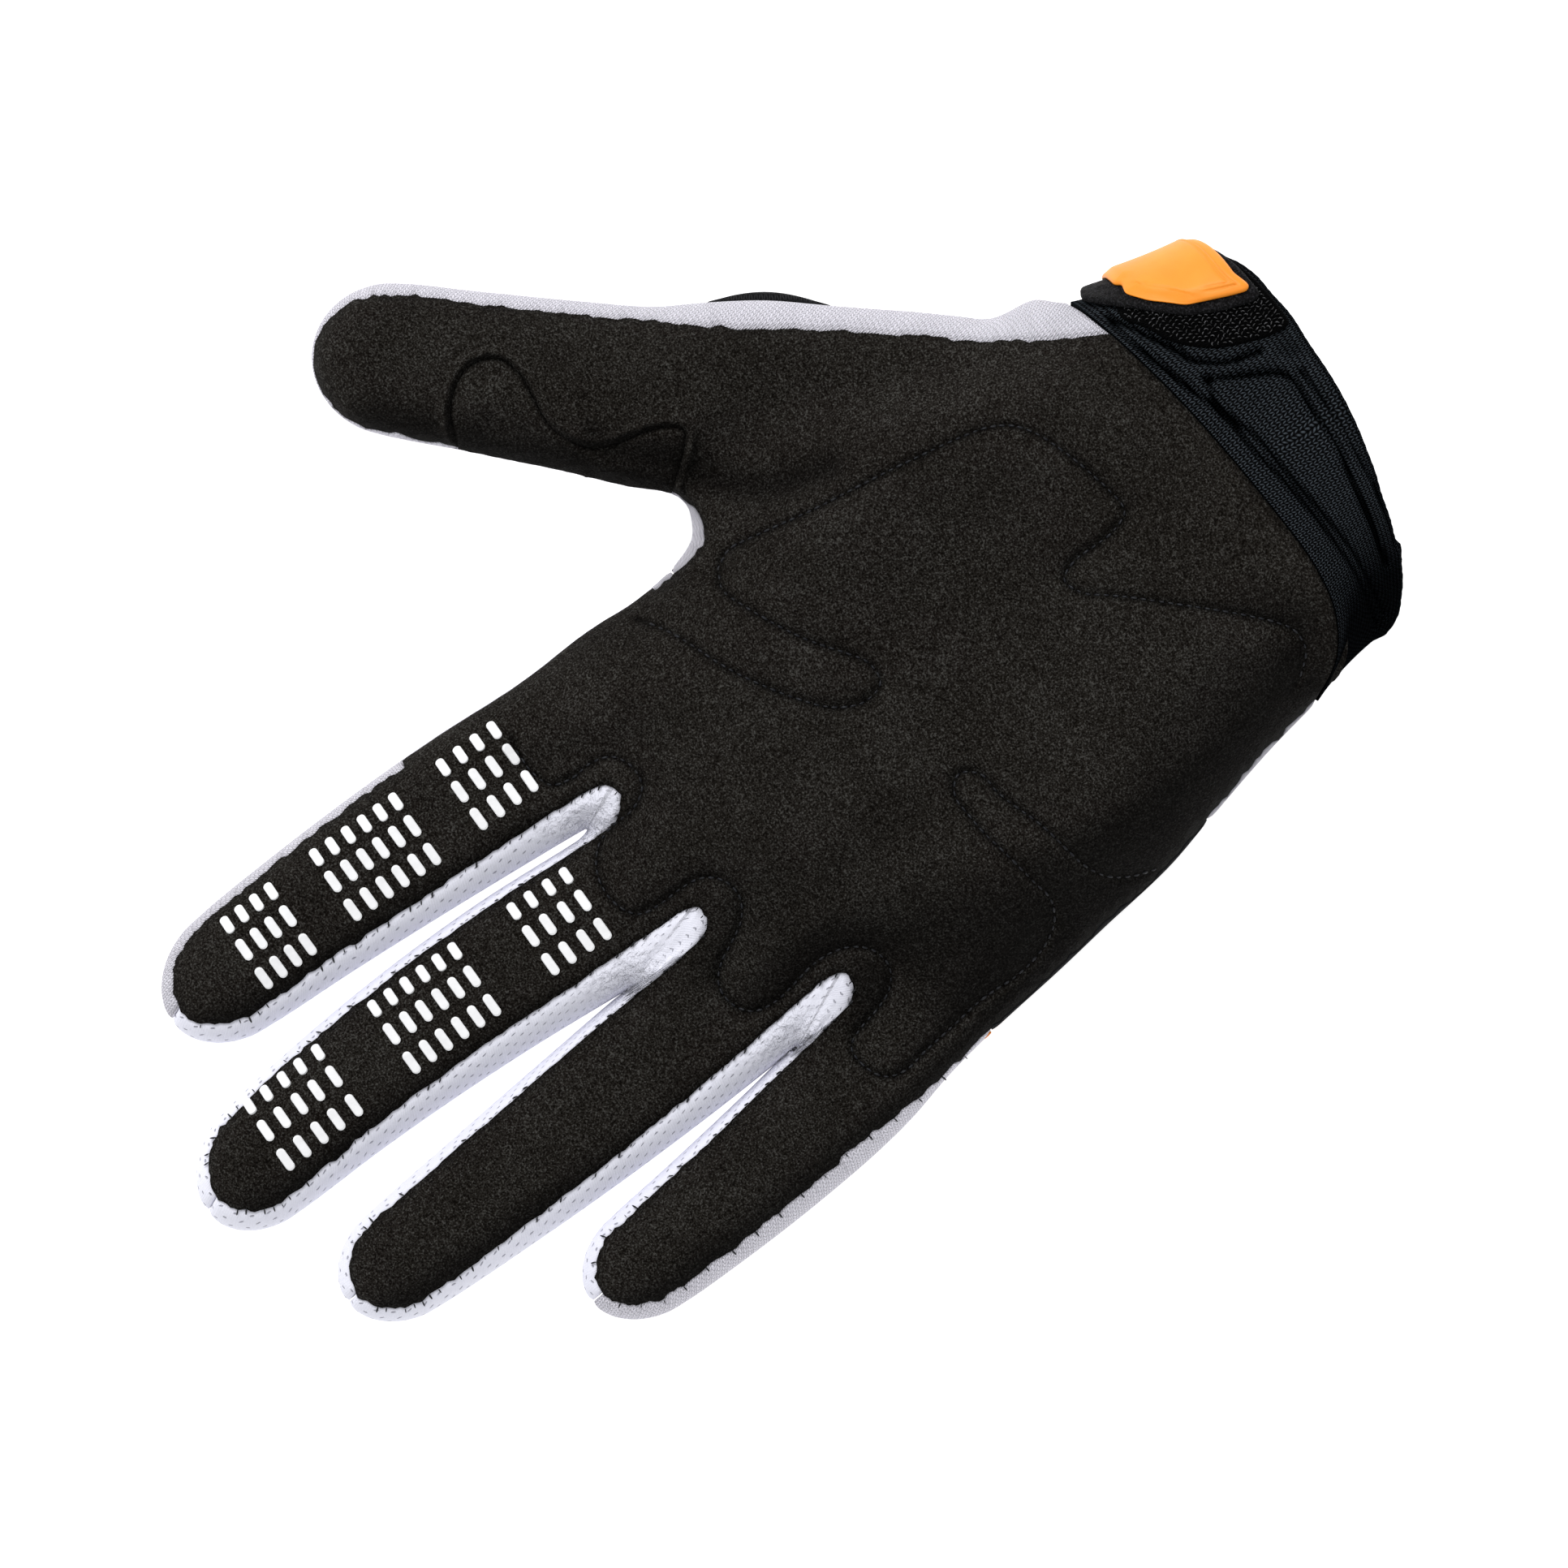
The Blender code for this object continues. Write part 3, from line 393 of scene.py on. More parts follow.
def inside(points, outline):
    """True for each point that lies inside the closed outline."""
    hit = np.zeros(len(points), bool)
    for a, b in zip(outline, np.roll(outline, -1, 0)):
        cross = (a[1] > points[:, 1]) != (b[1] > points[:, 1])
        if cross.any():
            x = a[0] + (points[:, 1] - a[1]) * (b[0] - a[0]) / (b[1] - a[1] + 1e-12)
            hit ^= cross & (points[:, 0] < x)
    return hit


patch_outline = np.concatenate([RAILS["palm"][patch_start:patch_end + 1], patch_line[::-1][1:-1]])


def palm_height(points):
    """The palm's height with its furrows, its folded seam and a soft unevenness."""
    z, rise = palm_base(points)
    for line in stitch_lines.values():
        gap, along = near(points, line)
        pull = 1 + 0.25 * np.sin(along * 2 * np.pi / PUCKER)  # each stitch pulls a little
        z -= FURROW * pull * bell(gap, FURROW_WIDTH) + QUILT_DEPTH * bell(gap, QUILT_WIDTH)
    for depth, width, line in FOLDS:
        z -= depth * bell(near(points, line)[0], width) * rise
    gap, _ = near(points, patch_line)
    signed = np.where(inside(points, patch_outline), -gap, gap)
    level = smooth((rise - 0.15) / 0.4)  # the seam flattens out before it reaches the outline
    z += RIDGE * bell(signed - RIDGE_OFFSET, RIDGE_WIDTH) * level
    z -= GROOVE * bell(signed, GROOVE_WIDTH) * level
    return z + sum(up * noise_at(points, size, seed) for up, size, seed in SOFTNESS) * rise


print("stitched lines:", {name: len(line) for name, line in stitch_lines.items()})

# %% [markdown]
# ## The skin
# The hand's skin is one fine net of triangles: a sheet for the palm, a sheet for the back, and
# rows of points that roll round the outline between them. Each triangle knows its panel. The
# sheets are filled by Delaunay triangulation, with extra rows of points beside each furrow.

# %% A net of triangles
PALM_GRID, BACK_GRID, CLEAR = 1.35, 2.6, 0.55  # CLEAR: share of the spacing kept free at lines
ROLL_ROWS, UNDER_ROWS = 8, 6
KNUCKLE_PAD = 1.9  # the padding of the back that stands out beyond the thumb's knuckle
CRUMPLE, CRUMPLE_SIZE, CRUMPLE_REACH = 1.3, 2.6, 7.0  # the mesh is crumpled between the fingers
WRIST_LUMPS = ((1.0, 5.5, 3.6), (-0.8, 13.5, 3.5))  # of the gusset: out, place and width (mm)
SUEDE_TURNS = ((34.6, 88.6), (30.2, 140.3))  # between these places suede turns round the outline
FURROW_ROWS = (-1.7, -1.05, -0.5, 0, 0.5, 1.05, 1.7)
SEAM_ROWS = (-1.2, -0.6, 0.5, 1.0, 1.5, 2.1, 2.9)


def unit(vectors):
    return vectors / (np.linalg.norm(vectors, axis=-1, keepdims=True) + 1e-12)


class Skin:
    def __init__(self):
        self.points, self.strip, self.count = [], [], 0
        self.faces, self.panels = [], []

    def add(self, plan, height, strip=None):
        self.points.append(np.column_stack([plan, height]))
        self.strip.append(np.zeros((len(plan), 2)) if strip is None else strip)
        self.count += len(plan)
        return np.arange(self.count - len(plan), self.count)

    def strip_between(self, a, b, panels):
        """Two triangles for each step between rows a and b; panels names each step's panel."""
        for i, panel in enumerate(panels):
            self.faces += [(a[i], b[i], b[i + 1]), (a[i], b[i + 1], a[i + 1])]
            self.panels += [panel, panel]

    def finish(self):
        self.points, self.strip = np.concatenate(self.points), np.concatenate(self.strip)
        self.faces, self.panels = np.array(self.faces), np.array(self.panels)
        corners = self.points[self.faces]
        flat = np.cross(corners[:, 1] - corners[:, 0], corners[:, 2] - corners[:, 0])
        self.normals = np.zeros_like(self.points)
        for k in range(3):
            np.add.at(self.normals, self.faces[:, k], flat)
        self.normals /= np.linalg.norm(self.normals, axis=1)[:, None] + 1e-12


def hex_points(outline, spacing, keep_off):
    """An even triangular grid inside the outline, clear of it and of the given lines."""
    low, high = outline.min(0), outline.max(0)
    grid = []
    for i, y in enumerate(np.arange(low[1], high[1], spacing * 0.866)):
        x = np.arange(low[0] - spacing * 0.5 * (i % 2), high[0], spacing)
        grid.append(np.column_stack([x, np.full(len(x), y)]))
    grid = np.concatenate(grid)
    grid = grid[inside(grid, outline)]
    grid = grid[near(grid, closed(outline))[0] > spacing * CLEAR]
    for line, distance in keep_off:
        grid = grid[near(grid, line)[0] > distance]
    return grid


def beside(line, offsets):
    """Rows of points that follow a line at the given distances."""
    along = np.gradient(line, axis=0)
    along /= np.linalg.norm(along, axis=1)[:, None]
    across = np.stack([-along[:, 1], along[:, 0]], 1)
    return np.concatenate([line + across * d for d in offsets])


def triangulate(plan, edges):
    """Triangles between the points that fill the outline and keep the given edges."""
    _, _, faces, origins = delaunay_2d_cdt([Vector(p) for p in plan], edges, [], 1, 1e-6)[:4]
    return np.array([[origins[v][0] for v in face] for face in faces])


def fill_sheet(loop, seams, extra, spacing, height, panel_of, flip):
    """Triangles inside the loop of point numbers, with seams kept as edges."""
    index = list(loop)
    edges = [(i, (i + 1) % len(loop)) for i in range(len(loop))]
    order = {v: i for i, v in enumerate(loop)}
    for seam in seams:
        for v in seam[1:-1]:
            order[v] = len(index)
            index.append(v)
        edges += [(order[a], order[b]) for a, b in zip(seam, seam[1:])]
    known = np.concatenate(skin.points)[:, :2]
    plan, outline = known[index], known[loop]
    spots = hex_points(outline, spacing, [(known[seam], spacing * CLEAR) for seam in seams])
    if len(extra):
        extra = extra[inside(extra, outline)]
        extra = extra[near(extra, closed(outline))[0] > 0.45]
        keep = []
        for start in range(0, len(spots), 1000):
            gap = np.linalg.norm(spots[start:start + 1000, None] - extra[None], axis=2).min(1)
            keep.append(gap > spacing * 0.62)
        spots = np.concatenate([extra, spots[np.concatenate(keep)]])
    index += list(skin.add(spots, height(spots)))
    triangles = np.array(index)[triangulate(np.concatenate([plan, spots]), edges)]
    names = panel_of(np.concatenate(skin.points)[triangles, :2].mean(1))
    skin.faces += [tuple(t[::-1]) if flip else tuple(t) for t in triangles]
    skin.panels += list(names)


# %% Rows that roll round the outline
skin = Skin()
palm_xy, side_xy, back_xy = RAILS["palm"], RAILS["side"], RAILS["back"]
run = run_of(side_xy)
_, _, roll, under = zone_at(palm_xy)
turn_palm = np.arccos(1 - np.clip(near(palm_xy, side_xy)[0] / roll, 0.002, 1))
turn_back = np.arccos(1 - np.clip(near(back_xy, side_xy)[0] / under, 0.002, 1))
rows = []
for j in range(ROLL_ROWS + 1):
    share = (1 - np.cos(turn_palm * (1 - j / ROLL_ROWS))) / (1 - np.cos(turn_palm))
    plan = side_xy + (palm_xy - side_xy) * share[:, None]
    rows.append((plan, palm_height(plan)))
pad_window = np.zeros(len(run))
pad_window[BAND_LOW_THUMB:THUMB_LOW + 1] = np.sin(
    np.linspace(0, np.pi, THUMB_LOW - BAND_LOW_THUMB + 1)) ** 0.8
for j in range(1, UNDER_ROWS + 1):
    share = (1 - np.cos(turn_back * j / UNDER_ROWS)) / (1 - np.cos(turn_back))
    plan = side_xy + (back_xy - side_xy) * share[:, None]
    z = back_height(plan)
    swell = KNUCKLE_PAD * pad_window * math.sin(math.pi * (j / UNDER_ROWS) ** 0.8)
    rows.append((plan - unit(palm_xy - side_xy) * swell[:, None], z))
crotches = [a + side_xy[a:b, 1].argmin() for a, b in zip(TIPS, TIPS[1:])]
ends = [0, *crotches, LAST + 1]
anchor = np.concatenate([np.full(b - a, tip) for tip, a, b in zip(TIPS, ends, ends[1:])])
crumple = sum(CRUMPLE * bell(run - run[c], CRUMPLE_REACH) for c in crotches[1:])
lump = sum(out * bell(run - place, width) for out, place, width in WRIST_LUMPS)
down = np.zeros(len(run))
row_index = []
for j, (plan, z) in enumerate(rows):
    if 0 < j < ROLL_ROWS:
        z = z + crumple * noise_at(plan, CRUMPLE_SIZE, 6.1) * math.sin(math.pi * j / ROLL_ROWS)
        plan = plan + across * (lump * math.sin(math.pi * 0.5 * j / ROLL_ROWS))[:, None]
    elif j:
        plan = plan + across * (lump * max(1 - (j - ROLL_ROWS) / 4, 0))[:, None]
    place = np.column_stack([plan, z])
    if j:
        down = down + np.linalg.norm(place - before, axis=1)
    before = place
    arc = run_of(place)
    row_index.append(skin.add(plan, z, np.column_stack([run[anchor] + arc - arc[anchor], down])))

# %% Seams, panels and sheets
def seam_points(start, line, end, height, spacing):
    """Numbers of new points along a seam between two points that exist."""
    ends = [np.concatenate(skin.points)[i, :2] for i in (start, end)]
    way = even_curve([ends[0]] + [at(x, y) for x, y in line] + [ends[1]], spacing)[1:-1]
    return [start, *skin.add(way, height(way)), end]


palm_row, back_row = row_index[0], row_index[-1]
wrist_palm = seam_points(palm_row[LAST], WRIST_SEAM_PALM, palm_row[0], palm_height, 1.3)
wrist_back = seam_points(back_row[0], WRIST_SEAM_BACK, back_row[LAST], back_height, 1.6)
patch_seam = [palm_row[patch_start], *skin.add(patch_line[1:-1], palm_height(patch_line[1:-1])),
              palm_row[patch_end]]
thumb_seam = seam_points(back_row[WEB_LOW], THUMB_BACK_SEAM, back_row[THUMB_LOW], back_height, 2)
top_seam = seam_points(back_row[BAND_TOP], BAND_TOP_SEAM, back_row[WEB_HIGH], back_height, 2)
low_seam = seam_points(back_row[BAND_LOW_THUMB], BAND_LOW_SEAM, back_row[BAND_LOW], back_height, 2)

FOURCHETTES = (("index", "middle"), ("middle", "ring"), ("ring", "little"))
BACK_SPANS = [(APEX[a], APEX[b], f"fourchette_{a}_{b}") for a, b in FOURCHETTES] + [
    (THUMB_LOW, WEB_LOW, "thumb_back"), (WEB_HIGH, BAND_TOP, "back_panel"),
    (0, BAND_LOW_THUMB, "wrist_panel"), (BAND_LOW, LAST, "wrist_panel")]


def beside_panel(i):
    return next((name for low, high, name in BACK_SPANS if low <= i < high), "back_band")


under_panels = [beside_panel(i) for i in range(LAST)]
roll_panels = ["thumb_gusset" if i < WEB_HIGH else under_panels[i] for i in range(LAST)]
turn_from, turn_to = (int(np.linalg.norm(palm_xy - spot, axis=1).argmin())
                      for spot in SUEDE_TURNS)
wrapped = ["thumb_patch" if patch_start <= i < patch_end else
           "palm_panel" if turn_from <= i < turn_to else name
           for i, name in enumerate(roll_panels)]
for j, (a, b) in enumerate(zip(row_index, row_index[1:])):
    skin.strip_between(a, b, wrapped if j < ROLL_ROWS - 2 else
                       roll_panels if j < ROLL_ROWS else under_panels)

flat_points = np.concatenate(skin.points)[:, :2]
REGIONS = (("thumb_back", [*back_row[THUMB_LOW:WEB_LOW + 1], *thumb_seam[1:-1]]),
           ("back_panel", [*back_row[WEB_HIGH:BAND_TOP + 1], *top_seam[1:-1]]),
           ("wrist_panel", [*back_row[BAND_LOW:], *wrist_back[-2:0:-1],
                            *back_row[:BAND_LOW_THUMB + 1], *low_seam[1:-1]]))


def palm_panels(spots):
    return np.where(inside(spots, patch_outline), "thumb_patch", "palm_panel")


def back_panels(spots):
    names = np.full(len(spots), "back_band", dtype="<U30")
    for name, outline in REGIONS:
        names[inside(spots, flat_points[outline])] = name
    return names


furrow_rows = np.concatenate([beside(line, FURROW_ROWS) for line in stitch_lines.values()]
                             + [beside(patch_line, SEAM_ROWS)])
fill_sheet([*palm_row, *wrist_palm[1:-1]], [patch_seam], furrow_rows, PALM_GRID,
           palm_height, palm_panels, False)
fill_sheet([*back_row, *wrist_back[-2:0:-1]], [thumb_seam, top_seam, low_seam], [],
           BACK_GRID, back_height, back_panels, True)
skin.finish()
print("skin triangles:", len(skin.faces))

# %% [markdown]
# ## Panels
# A glove is cut from several cloths. Each panel is lifted off the skin as a closed sheet with its
# own thickness: the outside, the same outside pushed in by the thickness, and a narrow rim
# between them. The rim is drawn back by half the gap of the seam and tucked in a little,
# because a sewn edge turns down into its seam. Each point also carries its painted shading,
# which the finishes use to darken or lighten it: painted shade in furrows, folds and seams, on
# sides that turn away from the key light, and painted light and shade on the mesh's lumps.

# %% Cut the panels
SHIFT = np.array([CAD_BOX[0].x / MM - controls["side"][:, 0].min(),
                  CAD_BOX[1].y / MM - controls["side"][:, 1].max(), 0])
SUEDE_PANELS = ("palm_panel", "thumb_patch")  # the suede panels, which get painted shade on the sides that turn away from the key light
SUEDE_GAP, TUCK_FADE = 0.08, 0.22  # TUCK_FADE: share of the tuck one row in from the edge
ALLOWANCE_GAP, ALLOWANCE_DROP, ALLOWANCE_WALL, STEP_AT_EDGE = 0.05, 0.25, 0.3, 0.35
ALLOWANCE = 1.6  # the strip of cloth beyond a seam, which lies under the neighbouring panel
EDGE_SHADE, TURNED_AWAY_SHADE, FOLD_SHADE = 0.35, 0.85, 0.42  # painted shade on the suede: at its edges, on its sides turned away from the key light, and in its folds
# Lines along which the suede gets painted shade in its furrows and seam, with how dark and how
# wide (mm)
LINE_SHADES = [(line, 0.86, 0.60) for line in stitch_lines.values()] + [(patch_line, 0.62, 0.40)]
GATHER_AND_SHADE_REACH = 7.0  # how far the mesh is gathered round the gap between two fingers, with painted light and shade on its lumps there
PANELS = (  # name, thickness, how far its edge is tucked in, and its seam allowance
    ("palm_panel", 1.3, 0.12, ALLOWANCE), ("thumb_patch", 1.3, 0.12, 0),
    ("thumb_gusset", 1.2, 0.45, 0), ("fourchette_index_middle", 1.0, 0.45, 0),
    ("fourchette_middle_ring", 1.0, 0.45, 0), ("fourchette_ring_little", 1.0, 0.45, 0),
    ("back_panel", 1.2, 0.35, 0), ("thumb_back", 1.2, 0.35, 0),
    ("wrist_panel", 1.2, 0.35, 0), ("back_band", 1.6, 0.25, ALLOWANCE),
)
made = {}


def put_in_scene(name, data):
    obj = bpy.data.objects.new(name, data)
    bpy.context.scene.collection.objects.link(obj)
    return obj


def border_of(faces):
    edges = np.concatenate([faces[:, [0, 1]], faces[:, [1, 2]], faces[:, [2, 0]]])
    size = edges.max() + 1
    return edges[~np.isin(edges[:, 0] * size + edges[:, 1], edges[:, 1] * size + edges[:, 0])]


def make_object(name, points, faces, uvs=None, painted_shading=None):
    """A mesh object from points in plan millimetres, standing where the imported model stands."""
    faces = [list(map(int, f)) for f in faces]
    used = sorted({i for f in faces for i in f})
    place = {old: new for new, old in enumerate(used)}
    mesh = bpy.data.meshes.new(name)
    mesh.from_pydata(((np.asarray(points)[used] + SHIFT) * MM).tolist(), [],
                     [[place[i] for i in f] for f in faces])
    if uvs is not None:
        layer = mesh.uv_layers.new(name="pattern")
        layer.data.foreach_set("uv", (np.asarray(uvs) * MM).ravel())
    if painted_shading is not None:
        mesh.attributes.new("painted_shading", "FLOAT", "POINT").data.foreach_set(
            "value", np.asarray(painted_shading, float)[used])
    mesh.polygons.foreach_set("use_smooth", [True] * len(mesh.polygons))
    mesh.update()
    made[name] = put_in_scene(name, mesh)


def closed_sheet(name, points, faces, rims, outer, plan, painted_shading=None):
    """The outer faces, the same faces turned over for the inside, and the rims between them."""
    uvs = np.concatenate([spots.reshape(-1, 2)
                          for spots in (outer, outer[:, ::-1], plan[rims % len(plan)])])
    make_object(name, points, [*faces, *(faces[:, ::-1] + len(plan)), *rims], uvs, painted_shading)


def painted_shading_of(name, points, normals, edge):
    """How much painted shading each point gets: 0 for open cloth, 1 for the most."""
    # the white knit panels: painted light, lighter on the sides that turn away from the key light
    if name in ("back_panel", "thumb_back", "thumb_gusset"):
        return smooth((-normals[:, 0] - 0.1) / 0.5)
    # the mesh: gathered round each gap between two fingers, where its lumps get painted light and
    # shade
    if name.startswith("fourchette"):
        return sum(bell(np.linalg.norm(points[:, :2] - side_xy[c], axis=1), GATHER_AND_SHADE_REACH)
                   for c in crotches)
    # painted shade: the suede is darker on the sides that turn away from the key light
    painted_shading = TURNED_AWAY_SHADE * smooth((-normals[:, 0] - 0.10) / 0.55) * (name in SUEDE_PANELS)
    # painted shade along each panel's edge, where it tucks into its seam; on the white knit the
    # same value paints the edge lighter
    painted_shading[edge] = np.maximum(painted_shading[edge], EDGE_SHADE)
    # painted shade in the stitched furrows, along the patch seam and in the folds
    if name in SUEDE_PANELS:
        for line, depth, width in LINE_SHADES + [(line, FOLD_SHADE * depth, width)
                                                  for depth, width, line in FOLDS]:
            painted_shading = np.maximum(painted_shading, depth * bell(near(points[:, :2], line)[0], width))
    return painted_shading


def cut_panel(name, wall, tuck, allowance):
    mine = np.flatnonzero(skin.panels == name)
    used, faces = np.unique(skin.faces[mine], return_inverse=True)
    faces = faces.reshape(-1, 3)
    points, normals = skin.points[used].copy(), skin.normals[used]
    rim = border_of(faces)
    along = points[rim[:, 1]] - points[rim[:, 0]]
    inward = np.cross(normals[rim].mean(1), along)
    inward /= np.linalg.norm(inward, axis=1)[:, None]
    pull = np.zeros_like(points)
    for k in (0, 1):
        np.add.at(pull, rim[:, k], inward)
    edge = np.unique(rim)
    size = np.linalg.norm(pull[edge], axis=1)[:, None]
    pull[edge] /= size
    gap = SUEDE_GAP if name in SUEDE_PANELS else SEAM_GAP
    points[edge] += pull[edge] / np.maximum(size / 2, 0.6) * gap / 2
    at_edge = np.isin(faces, edge)
    second = np.setdiff1d(np.unique(faces[at_edge.any(1)]), edge)
    points[edge] -= normals[edge] * tuck
    points[second] -= normals[second] * tuck * TUCK_FADE
    count = len(points)
    under = points - normals * wall
    under[edge] -= normals[edge] * STEP_AT_EDGE * (allowance > 0)
    levels = [points, under]
    if allowance:
        top, flat = points - normals * (wall + ALLOWANCE_GAP), np.ones(count)
        if name == "back_band":  # its allowance ends where the skin turns up at the outline
            flat = smooth((np.abs(normals[:, 2]) - 0.3) / 0.4)
        end = top - pull * allowance * flat[:, None] - normals * ALLOWANCE_DROP
        levels = [points, top, end, end - normals * ALLOWANCE_WALL, under]
    order = [0, 2, 3, 4, 1] if allowance else [0, 1]
    all_points = np.concatenate([levels[0], levels[-1], *levels[1:-1]])
    rims = np.concatenate([np.column_stack([rim[:, 1] + a * count, rim[:, 0] + a * count,
                                            rim[:, 0] + b * count, rim[:, 1] + b * count])
                           for a, b in zip(order, order[1:])])
    rolled = skin.strip[used].any(1)[faces].all(1)
    strip, plan = skin.strip[used], skin.points[used, :2]
    outer = np.where(rolled[:, None, None], strip[faces], plan[faces])
    painted_shading = np.tile(painted_shading_of(name, points, normals, edge), len(levels))
    closed_sheet(name, all_points, faces, rims, outer, plan, painted_shading)


for name, wall, tuck, allowance in PANELS:
    cut_panel(name, wall, tuck, allowance)
    print(name, len(made[name].data.polygons), "faces")

# %% [markdown]
# A thin stripe of orange print runs over the back along the top seam of the black band, and ends
# on the little finger's side, where its tip just shows from above. It is a flat ribbon laid on
# the skin's own points, so it bends with the panels below it.

# %% The stripe on the back
STRIPE_WIDTH, STRIPE_WALL, STRIPE_OFFSET = 1.7, 0.25, 1.1
STRIPE_SECTION = ((-1, -0.6), (-1, 0.7), (-0.8, 1), (0, 1.15), (0.8, 1), (1, 0.7), (1, -0.6))
path = [row[BAND_TOP] for row in row_index[ROLL_ROWS - 3:-1]] + top_seam
middle_line, out = skin.points[path].copy(), skin.normals[path]
middle_line[:, 1] += STRIPE_OFFSET
way = unit(np.gradient(middle_line, axis=0))
across = unit(np.cross(out, way))
sections = [middle_line + across * a * STRIPE_WIDTH / 2 + out * (0.05 + b * STRIPE_WALL)
            for a, b in STRIPE_SECTION]
count, turns = len(path), len(sections)
quads = [(a * count + i, a * count + i + 1, b * count + i + 1, b * count + i)
         for a, b in zip(range(turns), [*range(1, turns), 0]) for i in range(count - 1)]
ends = [tuple(a * count for a in range(turns)),
        tuple(a * count + count - 1 for a in range(turns - 1, -1, -1))]
make_object("accent_stripe", np.concatenate(sections), quads + ends)
print("stripe faces:", len(quads) + 2)

# %% [markdown]
# ## The cuff
# The cuff is a knitted tube sewn to the wrist. It starts on the wrist seam and ends in a wide
# flat mouth that leans back, so the mouth shows its lower lip. We sweep one column of points
# after another from seam to mouth. The channels are the lines where two layers are welded
# together; they are pressed into the surface along lines drawn on the plan.

# %% The cuff's form
CUFF_LENGTH, MOUTH_WIDTH, MOUTH_SLOPE, MOUTH_TILT = 16.5, 71.0, 0.62, 0.075
MOUTH_LIFT, MOUTH_POWER, CUFF_WALL, CUFF_BULGE, COLUMN = 0.03, 0.85, 2.6, 0.4, 0.8
CHANNEL_DEPTH, CHANNEL_WIDTH, SWELL, SWELL_OFFSET, SWELL_WIDTH = 0.90, 0.62, 0.34, 1.6, 0.8
HEM_ROLL, HEM_RIB, HEM_RIB_PITCH, HEM_WAVE = 0.22, 0.10, 2.1, 0.55
LIP_DEPTH, LIP_REACH, LIP_WALL = 1.45, 1.7, 0.7  # the cuff's seam allowance, under the suede
CHANNELS = (
    ((33.0, -0.1), (25.3, -2.6), (19.6, -4.6), (10.9, -7.9), (2.5, -9.6), (-5.8, -11.4),
     (-15.2, -13.0), (-24.2, -13.8), (-33.6, -13.0)),
    ((34.5, -0.5), (28.2, -4.2), (23.6, -7.1), (20.1, -8.9), (16.9, -13.7), (15.9, -19.2)),
    ((16.4, -9.0), (11.7, -8.4), (4.6, -10.9), (-3.7, -12.5), (-13.2, -14.2), (-21.7, -15.3),
     (-32.7, -14.9)),
    ((16.4, -9.0), (13.1, -15.9), (10.5, -20.6), (7.6, -21.7), (3.8, -21.6), (-4.5, -22.2),
     (-10.7, -21.3), (-17.5, -20.6), (-25.7, -19.3)),
    ((9.4, -23.3), (4.7, -23.8), (-1.2, -24.2), (-9.0, -24.1), (-16.1, -23.7), (-23.8, -22.2)),
)
wrist_loop = [*wrist_palm[1:-1], *[row[0] for row in row_index], *wrist_back[1:-1],
              *[row[LAST] for row in row_index[::-1]]]
thumb_mark = len(wrist_palm) - 2 + ROLL_ROWS
seam, seam_normal = skin.points[wrist_loop], skin.normals[wrist_loop]
reach = run_of(closed(seam))
COLUMNS = int(reach[-1] / COLUMN)
COLUMN = reach[-1] / COLUMNS
goal = (np.arange(COLUMNS) * COLUMN + reach[thumb_mark]) % reach[-1]
seam, seam_normal = (np.stack([np.interp(goal, reach, column) for column in closed(v).T], 1)
                     for v in (seam, seam_normal))
seam -= (0, SEAM_GAP, 0)
loop_points = skin.points[wrist_loop] - (0, SEAM_GAP, 0)
low, high = loop_points.min(0), loop_points.max(0)
middle = np.array([(low[0] + high[0]) / 2, loop_points[:, 1].mean(), (low[2] + high[2]) / 2])
angle = np.arctan2((seam[:, 2] - middle[2]) / (high[2] - low[2]),
                   (seam[:, 0] - middle[0]) / (high[0] - low[0]))
mouth_rise = WRIST_HEIGHT * (1 - MOUTH_LIFT) / 2
c, s = np.cos(angle), np.sin(angle)
mouth = np.empty_like(seam)
mouth[:, 0] = middle[0] + np.sign(c) * np.abs(c) ** MOUTH_POWER * MOUTH_WIDTH / 2
mouth[:, 2] = WRIST_HEIGHT - mouth_rise + np.sign(s) * np.abs(s) ** MOUTH_POWER * mouth_rise
mouth[:, 1] = (middle[1] - CUFF_LENGTH - MOUTH_SLOPE * (mouth[:, 2] - middle[2])
               - MOUTH_TILT * (mouth[:, 0] - middle[0]))


def cuff_grid(steps):
    """Points and outward normals of the cuff, for every column at the given length shares."""
    t = np.asarray(steps)[None, :, None]
    p = seam[:, None] + (mouth - seam)[:, None] * t
    p[..., 0] = seam[:, None, 0] + (mouth - seam)[:, None, 0] * (t * (2 - t))[..., 0]
    out = p - middle
    out[..., 1] = 0
    out[..., 2] = np.maximum(out[..., 2], 0)
    p = p + unit(out) * CUFF_BULGE * np.sin(np.pi * np.minimum(t, 1))
    across = np.roll(p, -1, 0) - np.roll(p, 1, 0)
    along = np.gradient(p, axis=1)
    surface = unit(np.cross(along, across))
    share = smooth(3 * t)
    return p, unit(seam_normal[:, None] * (1 - share) + surface * share)


cuff_steps = np.linspace(0, 1.06, 54)
cuff_points, cuff_normals = cuff_grid(cuff_steps)
lengths = np.linalg.norm(mouth - seam, axis=1)
print("cuff columns:", COLUMNS, "lengths (mm):", lengths.min().round(1), lengths.max().round(1))


